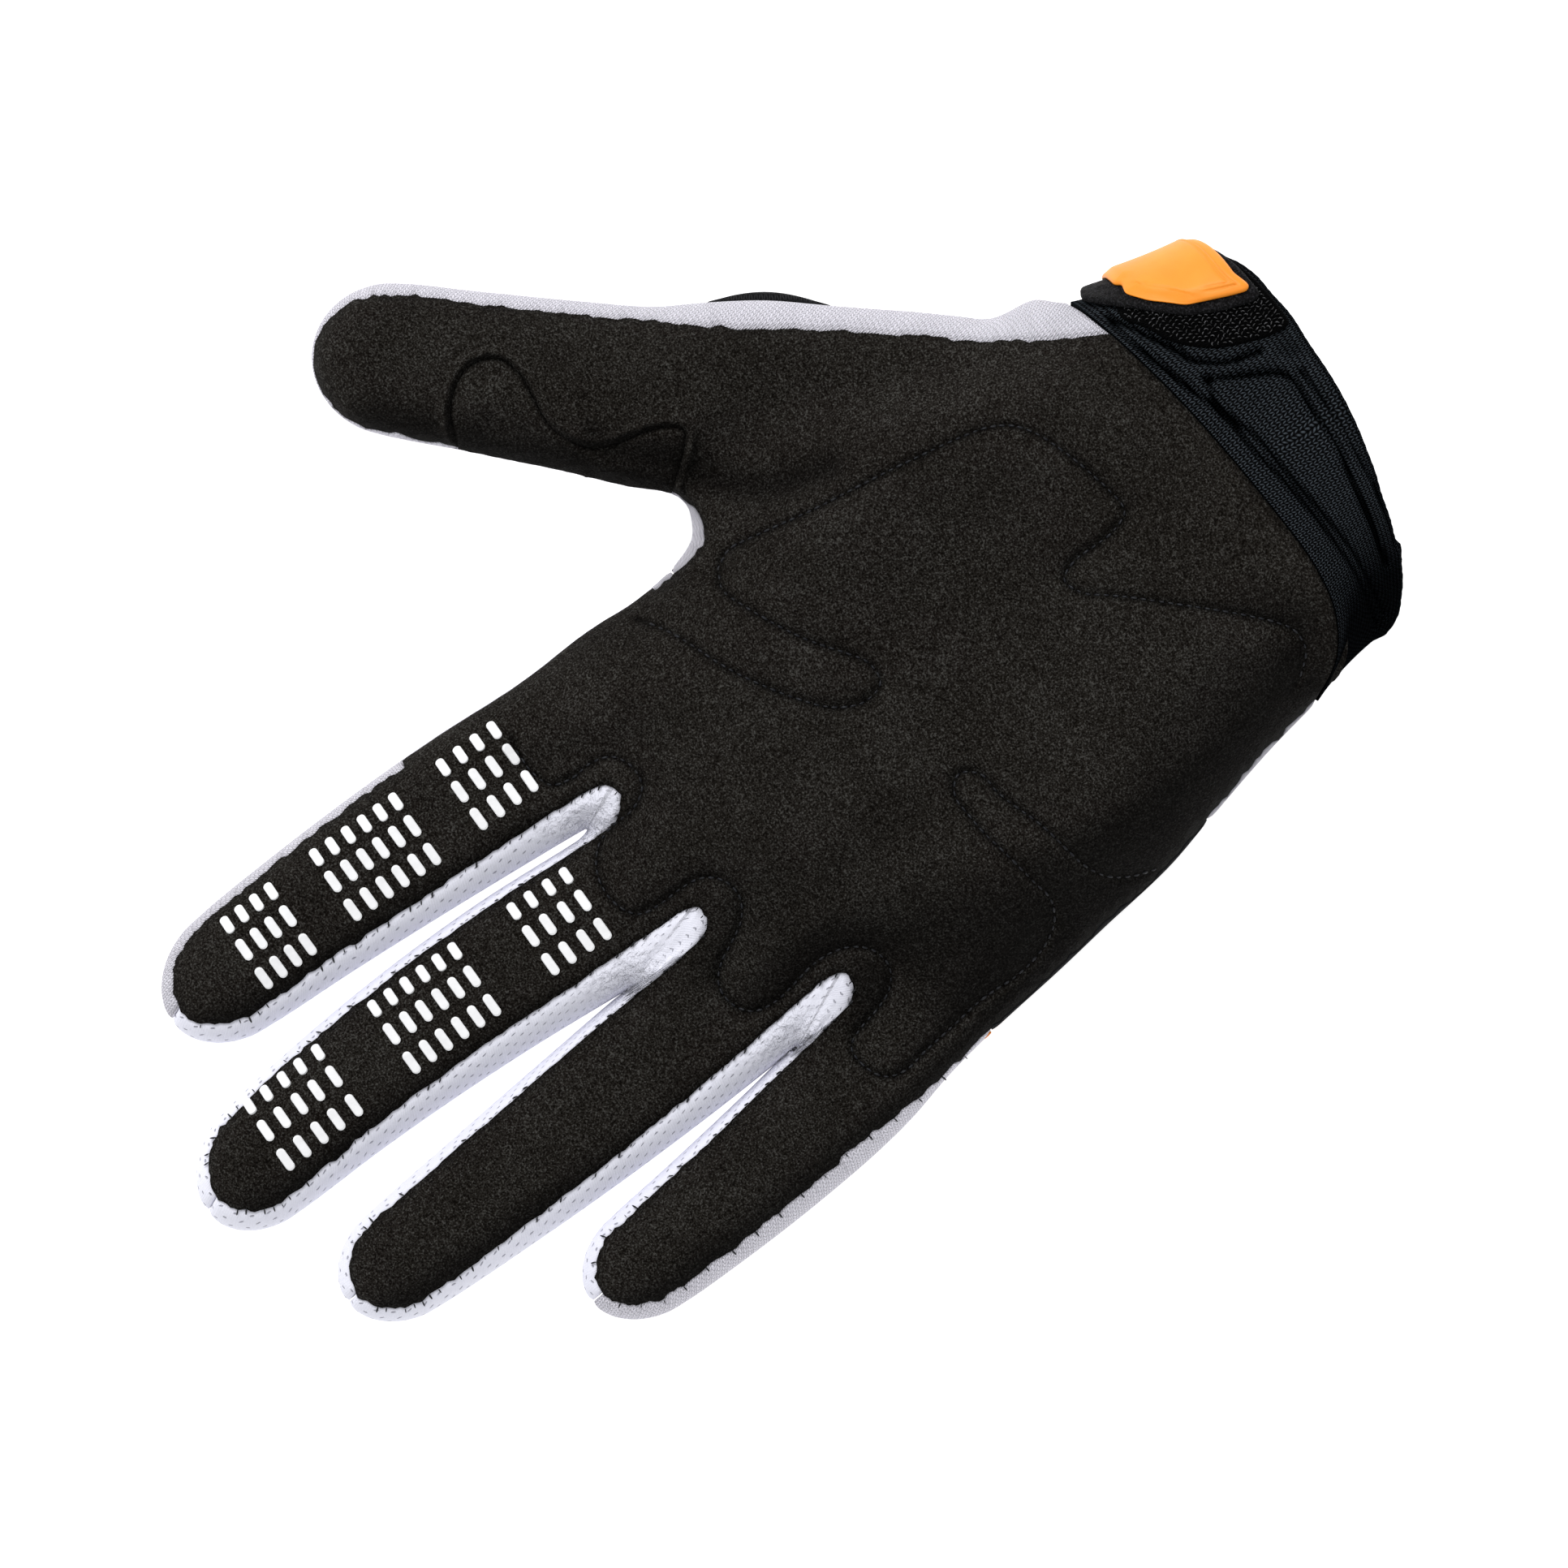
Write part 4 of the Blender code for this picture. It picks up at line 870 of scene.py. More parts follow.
def on_cuff(column, t, lift):
    """Points on the cuff at the given columns from the thumb side, length shares and lifts."""
    column = np.asarray(column, float) % COLUMNS
    i = np.floor(column).astype(int) % COLUMNS
    f = (column - np.floor(column))[:, None]
    k = np.clip(np.asarray(t) / cuff_steps[1], 0, len(cuff_steps) - 1.001)
    j = np.floor(k).astype(int)
    g = (k - j)[:, None]
    both = []
    for grid in (cuff_points, cuff_normals):
        a = grid[i, j] * (1 - g) + grid[i, j + 1] * g
        b = grid[(i + 1) % COLUMNS, j] * (1 - g) + grid[(i + 1) % COLUMNS, j + 1] * g
        both.append(a * (1 - f) + b * f)
    return both[0] + unit(both[1]) * np.asarray(lift)[:, None]


# %% Build the cuff
def rounded_wall(outer, inner, turns):
    """Rows that carry the wall round the mouth from its outside to its inside."""
    centre, arm = (outer + inner) / 2, (outer - inner) / 2
    thick = np.linalg.norm(arm, axis=1, keepdims=True)
    forward = unit(mouth - seam) * thick
    return [centre + arm * math.cos(a) + forward * math.sin(a)
            for a in np.linspace(0, np.pi, turns + 2)[1:-1]]


HEM = 1 - 1.3 / lengths.max()
body_steps = np.linspace(0, HEM, 42)
outer, normals = cuff_grid(body_steps)
flat = outer.reshape(-1, 3)
relief = np.zeros(len(flat))
upper = flat[:, 2] > middle[2]
for line in CHANNELS:
    gap, _ = near(flat[upper][:, :2], even_curve(line, 1.5))
    relief[upper] -= CHANNEL_DEPTH * bell(gap, CHANNEL_WIDTH)
    relief[upper] += SWELL * bell(gap - SWELL_OFFSET, SWELL_WIDTH)
relief = relief.reshape(outer.shape[:2])
around = np.arange(COLUMNS) * COLUMN
to_mouth = (1 - body_steps)[None] * lengths[:, None]
relief += HEM_ROLL * bell(to_mouth - 1.2, 1.0)
relief += HEM_RIB * np.sin(around * 2 * np.pi / HEM_RIB_PITCH)[:, None] * bell(to_mouth, 1.6)
wave = np.array([noise.noise(Vector((math.cos(a), math.sin(a), 0.3)) * 4.5)
                 for a in around / around[-1] * 2 * math.pi])
relief += HEM_WAVE * wave[:, None] * bell(to_mouth - 1.0, 4.5)
relief *= smooth(body_steps * 14)[None]
inner = outer - normals * CUFF_WALL
outer = outer + normals * relief[..., None]
rows = ([outer[:, j] for j in range(outer.shape[1])]
        + rounded_wall(outer[:, -1], inner[:, -1], 4)
        + [inner[:, j] for j in range(inner.shape[1] - 1, -1, -1)])
lip = outer[:, 0] - normals[:, 0] * (LIP_DEPTH + 0.3) + unit(seam - mouth) * LIP_REACH
rows += [lip - normals[:, 0] * LIP_WALL, lip, outer[:, 0] - normals[:, 0] * LIP_DEPTH]
ring_points = np.concatenate(rows)
along = np.concatenate([[0], np.cumsum([np.linalg.norm(b - a, axis=1).mean()
                                        for a, b in zip(rows, rows[1:])]), [0]])
quads, uvs = [], []
for j in range(len(rows)):
    a, b = j * COLUMNS, (j + 1) % len(rows) * COLUMNS
    for i in range(COLUMNS):
        n = (i + 1) % COLUMNS
        quads.append((a + i, b + i, b + n, a + n))
        u, v, w = i * COLUMN, along[j], along[j + 1]
        uvs += [(u, v), (u, w), (u + COLUMN, w), (u + COLUMN, v)]
# painted shade: the cuff is darker in its channels, on the sides that turn away from the key
# light, and on its mouth, its inside and its lip
turned_away = 0.9 * smooth((-normals[..., 0] - 0.05) / 0.5)
painted_shading = np.maximum(np.clip(-relief / 0.55, 0, 1), turned_away)
painted_shading = np.concatenate([painted_shading.T.ravel(), np.full(len(ring_points) - relief.size, 0.6)])
make_object("cuff", ring_points, quads, uvs, painted_shading)
print("cuff faces:", len(quads))

# %% [markdown]
# ## The wrist closure
# A pad of woven loops is sewn on the cuff, a felt-backed strap closes over it, and a rubber pull
# tab is moulded on the strap's end. All three are thin slabs that lie on the cuff. Their visible
# edges are drawn on the plan and dropped on the cuff; where they pass round the side, they
# go on in columns and shares of the cuff's own length.

# %% Slabs that lie on the cuff
fine = np.meshgrid(np.arange(-70, 12, 0.25), np.linspace(0, 1.05, 200), indexing="ij")
fine = np.stack(fine, -1).reshape(-1, 2)  # columns and length shares, tried one by one
fine_xy = {}


def drop(plan, lift):
    """Cuff columns and length shares under places on the plan, at the given lift."""
    if lift not in fine_xy:
        fine_xy[lift] = on_cuff(fine[:, 0], fine[:, 1], np.full(len(fine), lift))
    spots = fine_xy[lift]
    found = []
    for x, y in plan:
        apart = (spots[:, 0] - x) ** 2 + (spots[:, 1] - y) ** 2
        close = np.flatnonzero(apart < apart.min() + 0.05)
        found.append(fine[close[spots[close, 2].argmax()]])
    return np.array(found)


STRETCH = np.array([COLUMN, 24.0])  # millimetres for one column and for the cuff's length


def closed_line(corners, spacing, rounding):
    """An even closed line through the corners, cut a little at each of them."""
    corners = np.asarray(corners, float)
    line = []
    for before, here, after in zip(np.roll(corners, 1, 0), corners, np.roll(corners, -1, 0)):
        a, b = before - here, after - here
        p, q = (here + e * (min(rounding, np.linalg.norm(e) * 0.45) / (np.linalg.norm(e) + 1e-9))
                for e in (a, b))
        for t in (0, 0.5, 1):
            line.append((1 - t) ** 2 * p + 2 * t * (1 - t) * here + t * t * q)
    line = np.array(line + line[:1])
    total = run_of(line)[-1]
    return sample(line, np.linspace(0, total, int(total / spacing))[:-1])


def slab(name, outline, lift, profile, spacing, rows, uneven=0.0):
    """A closed slab on the cuff. profile gives its thickness from the distance to its edge."""
    area = ((outline * np.roll(outline[:, ::-1], -1, 0)) @ (1, -1)).sum()
    outline = outline if area > 0 else outline[::-1]
    border = closed(outline)
    extra = beside(outline, rows)
    extra = extra[inside(extra, outline)]
    extra = extra[near(extra, border)[0] > min(rows) * 0.8]
    spots = hex_points(outline, spacing, [])
    spots = spots[near(spots, border)[0] > max(rows) + spacing * 0.4]
    plan = np.concatenate([outline, extra, spots])
    faces = triangulate(plan, [(i, (i + 1) % len(outline)) for i in range(len(outline))])
    gap = near(plan, border)[0]
    gap[:len(outline)] = 0
    thick = profile(gap, plan)
    thick = thick + uneven * noise_at(plan, 1.3, 3.3) * (gap > 0)
    top, bottom = (on_cuff(*(plan / STRETCH).T, lift + up) for up in (thick, np.zeros(len(plan))))
    if np.cross(top[faces[:, 1]] - top[faces[:, 0]],
                top[faces[:, 2]] - top[faces[:, 0]]).sum(0) @ (top - bottom).sum(0) < 0:
        faces = faces[:, ::-1]
    rim, count = border_of(faces), len(plan)
    rims = np.column_stack([rim[:, 1], rim[:, 0], rim[:, 0] + count, rim[:, 1] + count])
    closed_sheet(name, np.concatenate([top, bottom]), faces, rims, plan[faces], plan)


def edge_drawn(visible, hidden, lift, spacing, rounding):
    """A slab's outline from its visible corners on the plan and its hidden ones on the cuff."""
    corners = np.concatenate([drop(visible, lift), np.asarray(hidden, float)])
    return closed_line(corners * STRETCH, spacing, rounding)


PAD_WALL, STRAP_WALL, TAB_WALL = 0.6, 0.9, 1.6
TAB_EDGE, TAB_CROWN = (0.70, 0.5), (0.75, 2.6)  # height of each step up, and its width
TAB_SLOPE, SLOPE_REACH = 0.11, 3.5
TAB_LINES, LINE_WIDTH, LINES_FROM = ((0.26, 1.45), (-0.16, 1.85), (0.20, 2.2)), 0.16, 0.60
PAD_LIFT = SEAM_GAP
STRAP_LIFT = PAD_LIFT + PAD_WALL + SEAM_GAP
TAB_LIFT = STRAP_LIFT + STRAP_WALL + SEAM_GAP
pad_outline = edge_drawn(
    ((32.7, -2.1), (29.4, -4.9), (26.6, -6.4), (24.2, -8.2), (22.0, -10.6), (20.0, -13.6),
     (18.5, -17.5), (17.4, -21.6), (16.9, -25.0), (17.7, -26.2)),
    ((-4, 0.97), (0, 0.95), (8, 0.93), (8, 0.30), (-4, 0.26)), PAD_LIFT + PAD_WALL, 0.7, 1.0)
strap_outline = edge_drawn(
    ((39.5, 1.5), (37.6, 0.0), (34.2, -4.2), (31.1, -7.6), (27.7, -11.9), (25.4, -17.0),
     (23.8, -23.0), (24.4, -24.4)),
    ((0, 0.98), (6, 0.95), (6, 0.30), (-1, 0.07)), STRAP_LIFT + STRAP_WALL, 0.6, 0.8)
tab_outline = edge_drawn(
    ((38.9, -4.5), (38.4, -5.5), (36.5, -5.1), (33.7, -7.6), (29.4, -12.7), (26.6, -20.3),
     (25.9, -22.8), (26.7, -23.6), (29.8, -22.5)),
    ((-3, 0.98), (3, 0.97), (9, 0.90), (9, 0.55), (5, 0.38), (0, 0.28)),
    TAB_LIFT + TAB_WALL * 0.6, 0.45, 0.7)
tab_crease = even_curve(drop(((38.8, -5.4), (36.6, -9.5), (33.0, -13.5), (28.6, -16.2)),
                             TAB_LIFT + TAB_WALL) * STRETCH, 0.5)


def round_edge(thickness, radius):
    def profile(gap, plan):
        return thickness * (0.35 + 0.65 * bulge(gap / radius))
    return profile


def tab_profile(gap, plan):
    """A bevelled tab: a steep edge, a level face, a creased slope, and one pressed double line."""
    rise = TAB_EDGE[0] * bulge(gap / TAB_EDGE[1]) + TAB_CROWN[0] * smooth(gap / TAB_CROWN[1])
    away = near(plan, tab_crease)[0]
    below = np.cross(tab_crease[-1] - tab_crease[0], plan - tab_crease[0])
    middle = np.cross(tab_crease[-1] - tab_crease[0], tab_outline.mean(0) - tab_crease[0])
    rise -= TAB_SLOPE * np.where(below * middle < 0, np.minimum(away, SLOPE_REACH), 0)
    line = smooth((plan[:, 1] / STRETCH[1] - LINES_FROM) / 0.08)
    for depth, place in TAB_LINES:
        rise -= depth * line * bell(gap - place, LINE_WIDTH)
    return np.maximum(rise, 0.25)


slab("loop_pad", pad_outline, PAD_LIFT, round_edge(PAD_WALL, 0.6), 0.8, (0.3, 0.7))
slab("closure_strap", strap_outline, STRAP_LIFT, round_edge(STRAP_WALL, 0.8), 0.6,
     (0.25, 0.55, 0.9), 0.22)
slab("pull_tab", tab_outline, TAB_LIFT, tab_profile, 0.55,
     (0.15, 0.35, 0.6, 1.0, 1.3, 1.45, 1.65, 1.85, 2.05, 2.2, 2.4, 2.8))
for name in ("loop_pad", "closure_strap", "pull_tab"):
    print(name, len(made[name].data.polygons), "faces")

# %% [markdown]
# ## Cloths, thread and rubber
# Every finish is made of shader nodes that work in millimetres. Suede and felt take their grain
# from the object's own coordinates, because they have no direction. Knits need a direction, so
# they follow the pattern map that each panel got when it was cut. The knit is drawn as rows of
# small V shapes, which is how the face of plain knitting looks up close.

# %% Helpers for node trees
PER_METRE = (1000, 1000, 1000)  # Blender's metres become millimetres


class Value:
    """A socket that sums and products can be written with, as with a number."""

    def __init__(self, nodes, socket):
        self.nodes, self.socket = nodes, socket

    def __add__(self, other):
        return self.nodes.math("ADD", self, other)

    def __sub__(self, other):
        return self.nodes.math("SUBTRACT", self, other)

    def __mul__(self, other):
        return self.nodes.math("MULTIPLY", self, other)

    def __truediv__(self, other):
        return self.nodes.math("DIVIDE", self, other)


class Nodes:
    """A node tree that grows call by call."""

    def __init__(self, tree):
        self.tree = tree

    def node(self, kind, links=(), **settings):
        node = self.tree.nodes.new(kind)
        for key, value in settings.items():
            setattr(node, key, value)
        for key, value in dict(links).items():
            self.put(value, node.inputs[key])
        return node

    def put(self, value, socket):
        value = value.socket if isinstance(value, Value) else value
        if isinstance(value, bpy.types.NodeSocket):
            self.tree.links.new(value, socket)
        else:
            socket.default_value = value

    def math(self, operation, a, b=0.0):
        node = self.node("ShaderNodeMath", {0: a, 1: b}, operation=operation)
        return Value(self, node.outputs[0])


class Finish(Nodes):
    """One material. Its calls give back the value to use next."""

    def __init__(self, name, roughness, specular, sheen=0.0):
        self.material = bpy.data.materials.new(name)
        self.material.use_nodes = True
        super().__init__(self.material.node_tree)
        self.shader = self.tree.nodes["Principled BSDF"].inputs
        for key, value in (("Roughness", roughness), ("Specular IOR Level", specular),
                           ("Sheen Weight", sheen), ("Sheen Roughness", 0.45)):
            self.put(value, self.shader[key])

    def times(self, a, b):
        return self.node("ShaderNodeVectorMath", {0: a, 1: b}, operation="MULTIPLY").outputs[0]

    def pattern(self):
        """The two coordinates of the pattern map, in millimetres."""
        source = self.node("ShaderNodeUVMap", uv_map="pattern").outputs[0]
        axes = self.node("ShaderNodeSeparateXYZ", {0: self.times(source, PER_METRE)})
        return Value(self, axes.outputs[0]), Value(self, axes.outputs[1])

    # the painted light and shade that each piece carries on its points
    def painted_shading(self):
        node = self.node("ShaderNodeAttribute", attribute_name="painted_shading")
        return Value(self, node.outputs["Fac"])

    def noise(self, size, detail=2.0, roughness=0.5):
        """Noise on the piece's own coordinates; size is in millimetres."""
        source = self.node("ShaderNodeTexCoord").outputs["Object"]
        return Value(self, self.node("ShaderNodeTexNoise", {
            "Vector": self.times(source, PER_METRE), "Scale": 1 / size,
            "Detail": detail, "Roughness": roughness}).outputs["Fac"])

    def ramp(self, amount, *stops):
        ramp = self.node("ShaderNodeValToRGB", {"Fac": amount})
        elements = ramp.color_ramp.elements
        while len(elements) < len(stops):
            elements.new(0.5)
        for element, (position, colour) in zip(elements, stops):
            element.position, element.color = position, (*colour, 1)
        return Value(self, ramp.outputs[0])

    def colour(self, value, in_painted_shading=1.0):
        """The base colour, multiplied by in_painted_shading where the piece has its painted
        shading.
        """
        if in_painted_shading != 1:
            value = self.times(value, self.painted_shading() * (in_painted_shading - 1) + 1.0)
        self.put(value, self.shader["Base Color"])

    def relief(self, height, depth, below=None):
        """A bump of the given depth in millimetres, on top of another one."""
        values = {"Height": height, "Distance": depth * MM, "Strength": 1.0}
        if below is not None:
            values["Normal"] = below
        normal = self.node("ShaderNodeBump", values).outputs[0]
        self.put(normal, self.shader["Normal"])
        return normal


def tint(colour, share):
    """The colour times one share, or times one share for each channel."""
    shares = share if isinstance(share, tuple) else (share,) * 3
    return tuple(min(c * part, 1) for c, part in zip(colour, shares))


# %% Suede, felt, rubber and thread
def suede():
    f = Finish("suede", 0.86, 0.05)
    fibre, clump, patch = f.noise(0.34, 2, 0.55), f.noise(0.95, 2, 0.6), f.noise(14)
    base = (0.0150, 0.0134, 0.0116)
    # where the suede has painted shading its colour falls to 0.20 of itself: painted shade
    f.colour(f.ramp(clump * 0.20 + fibre * 0.80 + (patch - 0.5) * 0.10,
                    (0.37, tint(base, (0.18, 0.13, 0.09))), (0.47, tint(base, (0.74, 0.69, 0.64))),
                    (0.55, tint(base, 1.40)), (0.66, tint(base, (4.1, 4.45, 4.7)))), 0.20)
    f.relief(fibre, 0.45, f.relief(clump, 0.40))
    return f.material


def felt():
    f = Finish("felt", 0.75, 0.12)
    fuzz = f.noise(0.36, 3, 0.65)
    base = (0.0030, 0.0029, 0.0033)
    f.colour(f.ramp(fuzz, (0.38, tint(base, 0.2)), (0.50, base), (0.66, tint(base, 9.0))))
    f.relief(fuzz, 0.5, f.relief(f.noise(1.2), 0.3))
    return f.material


def rubber():
    f = Finish("orange_rubber", 0.46, 0.4)
    grain = f.noise(0.25)
    f.colour(f.ramp(f.noise(6), (0.3, (0.93, 0.278, 0.012)), (0.7, (1.0, 0.315, 0.019))))
    f.put(grain * 0.12 + 0.40, f.shader["Roughness"])
    f.relief(grain, 0.02)
    return f.material


def plain(name, roughness, specular, size, stops, grain=None):
    """A finish with clouds of the given size; grain gives a bump's size and depth."""
    f = Finish(name, roughness, specular)
    f.colour(f.ramp(f.noise(size), *stops))
    if grain:
        f.relief(f.noise(grain[0]), grain[1])
    return f.material


# %% Knits and mesh
def knit(name, colour, wale, course, depth, dark, specular=0.2, bright=1.0, painted_shading_share=1.0):
    """Plain knitting: wales are the columns of V shapes and courses are its rows."""
    f = Finish(name, 0.85, specular)
    across, along = f.pattern()
    sway = f.noise(5.0) * 0.8 - 0.4
    side = f.math("ABSOLUTE", f.math("FRACT", (across + sway) / wale) - 0.5)
    loop = f.math("PINGPONG", along / course + side * 1.5, 0.5)
    arm = f.math("PINGPONG", side * 2, 0.5)
    height = f.math("SQRT", loop * 2) * f.math("SQRT", arm * 1.9 + 0.05)
    # the colour follows the loops' height: dark sets the painted shade in the hollows between
    # loops, bright the painted highlight on their tops
    f.colour(f.ramp(height * (f.noise(0.5, 3) * 0.8 + 0.6), (0.05, tint(colour, dark)),
                    (0.45, colour), (0.95, tint(colour, bright))), painted_shading_share)
    f.relief(height, depth)
    return f.material


def air_mesh():
    """A fine white knit with staggered rows of short slots, gathered between the fingers, with
    painted light on its lumps' tops and painted shade in their hollows there.
    """
    f = Finish("air_mesh", 0.85, 0.2, sheen=0.05)
    across, along = f.pattern()
    row = along / 1.9
    odd = f.math("FLOORED_MODULO", f.math("FLOOR", row), 2) * 0.5
    u = f.math("FRACT", across / 3.0 + odd) - 0.5
    lean = u * 0.5 + (f.math("FRACT", row) - 0.5)
    slot = (f.math("POWER", f.math("ABSOLUTE", u * 7.0), 2.0)
            + f.math("POWER", f.math("ABSOLUTE", lean * 8.4), 2.0))
    gather_and_shade = f.painted_shading()
    cloth = f.math("MAXIMUM", f.ramp(slot, (0.35, (0, 0, 0)), (1.0, (1, 1, 1))), gather_and_shade * 0.9)
    yarn, lumps = f.noise(0.45, 3), f.noise(1.6, 3, 0.6) * gather_and_shade
    thread = f.math("PINGPONG", across / 0.46, 0.5)
    # painted light and shade: the mesh is lighter on the lumps' tops and darker in their hollows
    shade = cloth * (yarn * 0.4 + 0.75) + (gather_and_shade * 0.5 - lumps) * -0.8
    f.colour(f.ramp(shade, (0.0, (0.41, 0.41, 0.48)), (0.45, (0.74, 0.74, 0.83)),
                    (0.9, (0.86, 0.86, 0.955))))
    f.relief(cloth + (yarn * 0.35 + thread * 0.3), 0.22, f.relief(lumps, 2.0))
    return f.material


WHITE, NAVY_BLACK = (0.785, 0.765, 0.84), (0.0065, 0.0066, 0.0074)
STRETCH_BLACK, LOOP_BLACK = (0.009, 0.009, 0.010), (0.0010, 0.0010, 0.0011)
THREAD_STOPS = ((0.35, (0.003, 0.003, 0.004)), (0.62, (0.009, 0.010, 0.014)))
SILICONE_STOPS = ((0.3, (0.86, 0.86, 0.87)), (0.7, (0.93, 0.93, 0.94)))
LOOP_STOPS = ((0.44, (0.002, 0.002, 0.002)), (0.66, (0.085, 0.085, 0.09)))
finishes = {
    "suede": suede(), "strap_felt": felt(), "orange_rubber": rubber(),
    # painted_shading_share above 1: the white knit is painted lighter where it has painted shading
    "white_knit": knit("white_knit", WHITE, 1.10, 0.95, 0.38, 0.52, bright=1.06, painted_shading_share=1.18),
    "white_mesh": air_mesh(),
    # bright: painted glints on the cuff's yarn in place of a highlight, since this finish has no
    # specular
    "cuff_knit": knit("cuff_knit", NAVY_BLACK, 0.95, 0.78, 0.40, 0.10, specular=0.0,
                      bright=(11.0, 13.0, 13.5), painted_shading_share=0.06),
    "black_stretch": knit("black_stretch", STRETCH_BLACK, 0.9, 1.8, 0.25, 0.3, specular=0.08,
                          bright=2.8),
    "loop_fabric": knit("loop_fabric", LOOP_BLACK, 0.95, 0.95, 0.25, 0.4, specular=0.03,
                        bright=2.0),
    "thread": plain("thread", 0.45, 0.35, 0.2, THREAD_STOPS, (0.2, 0.08)),
    "silicone": plain("silicone", 0.5, 0.35, 1.5, SILICONE_STOPS, (0.5, 0.04)),
    "hook_plastic": plain("hook_plastic", 0.25, 0.35, 0.8, LOOP_STOPS),
}
print("finishes:", sorted(finishes))

# %% [markdown]
# ## Stitches
# The palm's layers are held by a dark thread, in short stitches that sink into the furrows. A
# stitch repeats hundreds of times along a path, which is work for Geometry Nodes: the path is
# cut into equal steps, and one small stitch is placed on each step, turned along the path and
# lifted off the surface. The same tree, with other sizes, makes the ticks of thread that cross
# the edge of the mesh between the fingers.

# %% A tree that lays stitches along paths
class Growth(Nodes):
    """A geometry tree with named inputs: (name, kind of socket, default)."""

    def __init__(self, name, *inputs):
        super().__init__(bpy.data.node_groups.new(name, "GeometryNodeTree"))
        sockets = self.tree.interface
        for label, kind, default in (("Geometry", "Geometry", None), *inputs,
                                     ("Finish", "Material", None)):
            socket = sockets.new_socket(label, in_out="INPUT", socket_type="NodeSocket" + kind)
            if default is not None:
                socket.default_value = default
        sockets.new_socket("Geometry", in_out="OUTPUT", socket_type="NodeSocketGeometry")
        self.given = self.node("NodeGroupInput").outputs

    def attribute(self, name, kind="FLOAT_VECTOR"):
        return self.node("GeometryNodeInputNamedAttribute", {"Name": name},
                         data_type=kind).outputs["Attribute"]

    def turned(self):
        """A rotation whose X runs along the attribute 'way' and whose Z stands on 'up'."""
        along = self.node("FunctionNodeAlignRotationToVector", {"Vector": self.attribute("way")},
                          axis="X")
        return self.node("FunctionNodeAlignRotationToVector",
                         {"Rotation": along.outputs[0], "Vector": self.attribute("up")},
                         axis="Z", pivot_axis="X").outputs[0]

    def combine(self, x, y, z):
        return self.node("ShaderNodeCombineXYZ", {"X": x, "Y": y, "Z": z}).outputs[0]

    def lay_copies(self, piece, rotation, scale=(1, 1, 1), rounded=True):
        """One copy of the piece on each point, made real and given its finish."""
        last = self.node("GeometryNodeInstanceOnPoints", {
            "Points": self.given["Geometry"], "Instance": piece, "Rotation": rotation,
            "Scale": scale})
        last = self.node("GeometryNodeRealizeInstances", {"Geometry": last.outputs[0]})
        if rounded:
            last = self.node("GeometryNodeSetShadeSmooth", {"Geometry": last.outputs[0]})
        last = self.node("GeometryNodeSetMaterial", {"Geometry": last.outputs[0],
                                                     "Material": self.given["Finish"]})
        self.node("NodeGroupOutput", {0: last.outputs[0]})
        return self.tree


def stitch_tree():
    g = Growth("stitch_row", ("Stitch Length", "Float", 1.0 * MM), ("Thread", "Float", 0.36 * MM),
               ("Spread", "Float", 0.15), ("Seed", "Int", 3))
    ball = g.node("GeometryNodeMeshUVSphere", {"Segments": 8, "Rings": 5, "Radius": 0.5})
    size = g.combine(g.given["Stitch Length"], g.given["Thread"], g.given["Thread"])
    low, high = (g.math(sign, 1.0, g.given["Spread"]) for sign in ("SUBTRACT", "ADD"))
    uneven = g.node("FunctionNodeRandomValue", {2: low, 3: high, "Seed": g.given["Seed"]},
                    data_type="FLOAT")
    scale = g.node("ShaderNodeVectorMath", {0: size, "Scale": uneven.outputs[1]},
                   operation="SCALE")
    return g.lay_copies(ball.outputs["Mesh"], g.turned(), scale.outputs[0])


def spots_object(name, points, way, up, more=()):
    """A mesh of loose points in plan millimetres that carry the directions 'way' and 'up'."""
    mesh = bpy.data.meshes.new(name)
    mesh.from_pydata(((points + SHIFT) * MM).tolist(), [], [])
    for label, values in (("way", way), ("up", up), *more):
        values = np.asarray(values, float)
        kind = "FLOAT_VECTOR" if values.ndim == 2 else "FLOAT"
        layer = mesh.attributes.new(label, kind, "POINT")
        layer.data.foreach_set("vector" if values.ndim == 2 else "value", values.ravel())
    return put_in_scene(name, mesh)


def grow(name, obj, tree, settings):
    """Runs the tree on the object and keeps the result as a plain mesh."""
    modifier = obj.modifiers.new("grow", "NODES")
    modifier.node_group = tree
    for item in tree.interface.items_tree:
        if item.in_out == "INPUT" and item.name in settings:
            modifier[item.identifier] = settings[item.name]
    ready = obj.evaluated_get(bpy.context.evaluated_depsgraph_get())
    mesh = bpy.data.meshes.new_from_object(ready)
    bpy.data.objects.remove(obj)
    mesh.name = name
    made[name] = put_in_scene(name, mesh)
    print(name, len(mesh.polygons), "faces")


def palm_up(plan, reach=0.3):
    """The palm's height and outward normal at places on the plan."""
    dx, dy = np.array([reach, 0]), np.array([0, reach])
    z = palm_height(plan)
    slope_x = (palm_height(plan + dx) - palm_height(plan - dx)) / (2 * reach)
    slope_y = (palm_height(plan + dy) - palm_height(plan - dy)) / (2 * reach)
    return z, unit(np.column_stack([-slope_x, -slope_y, np.ones(len(plan))]))


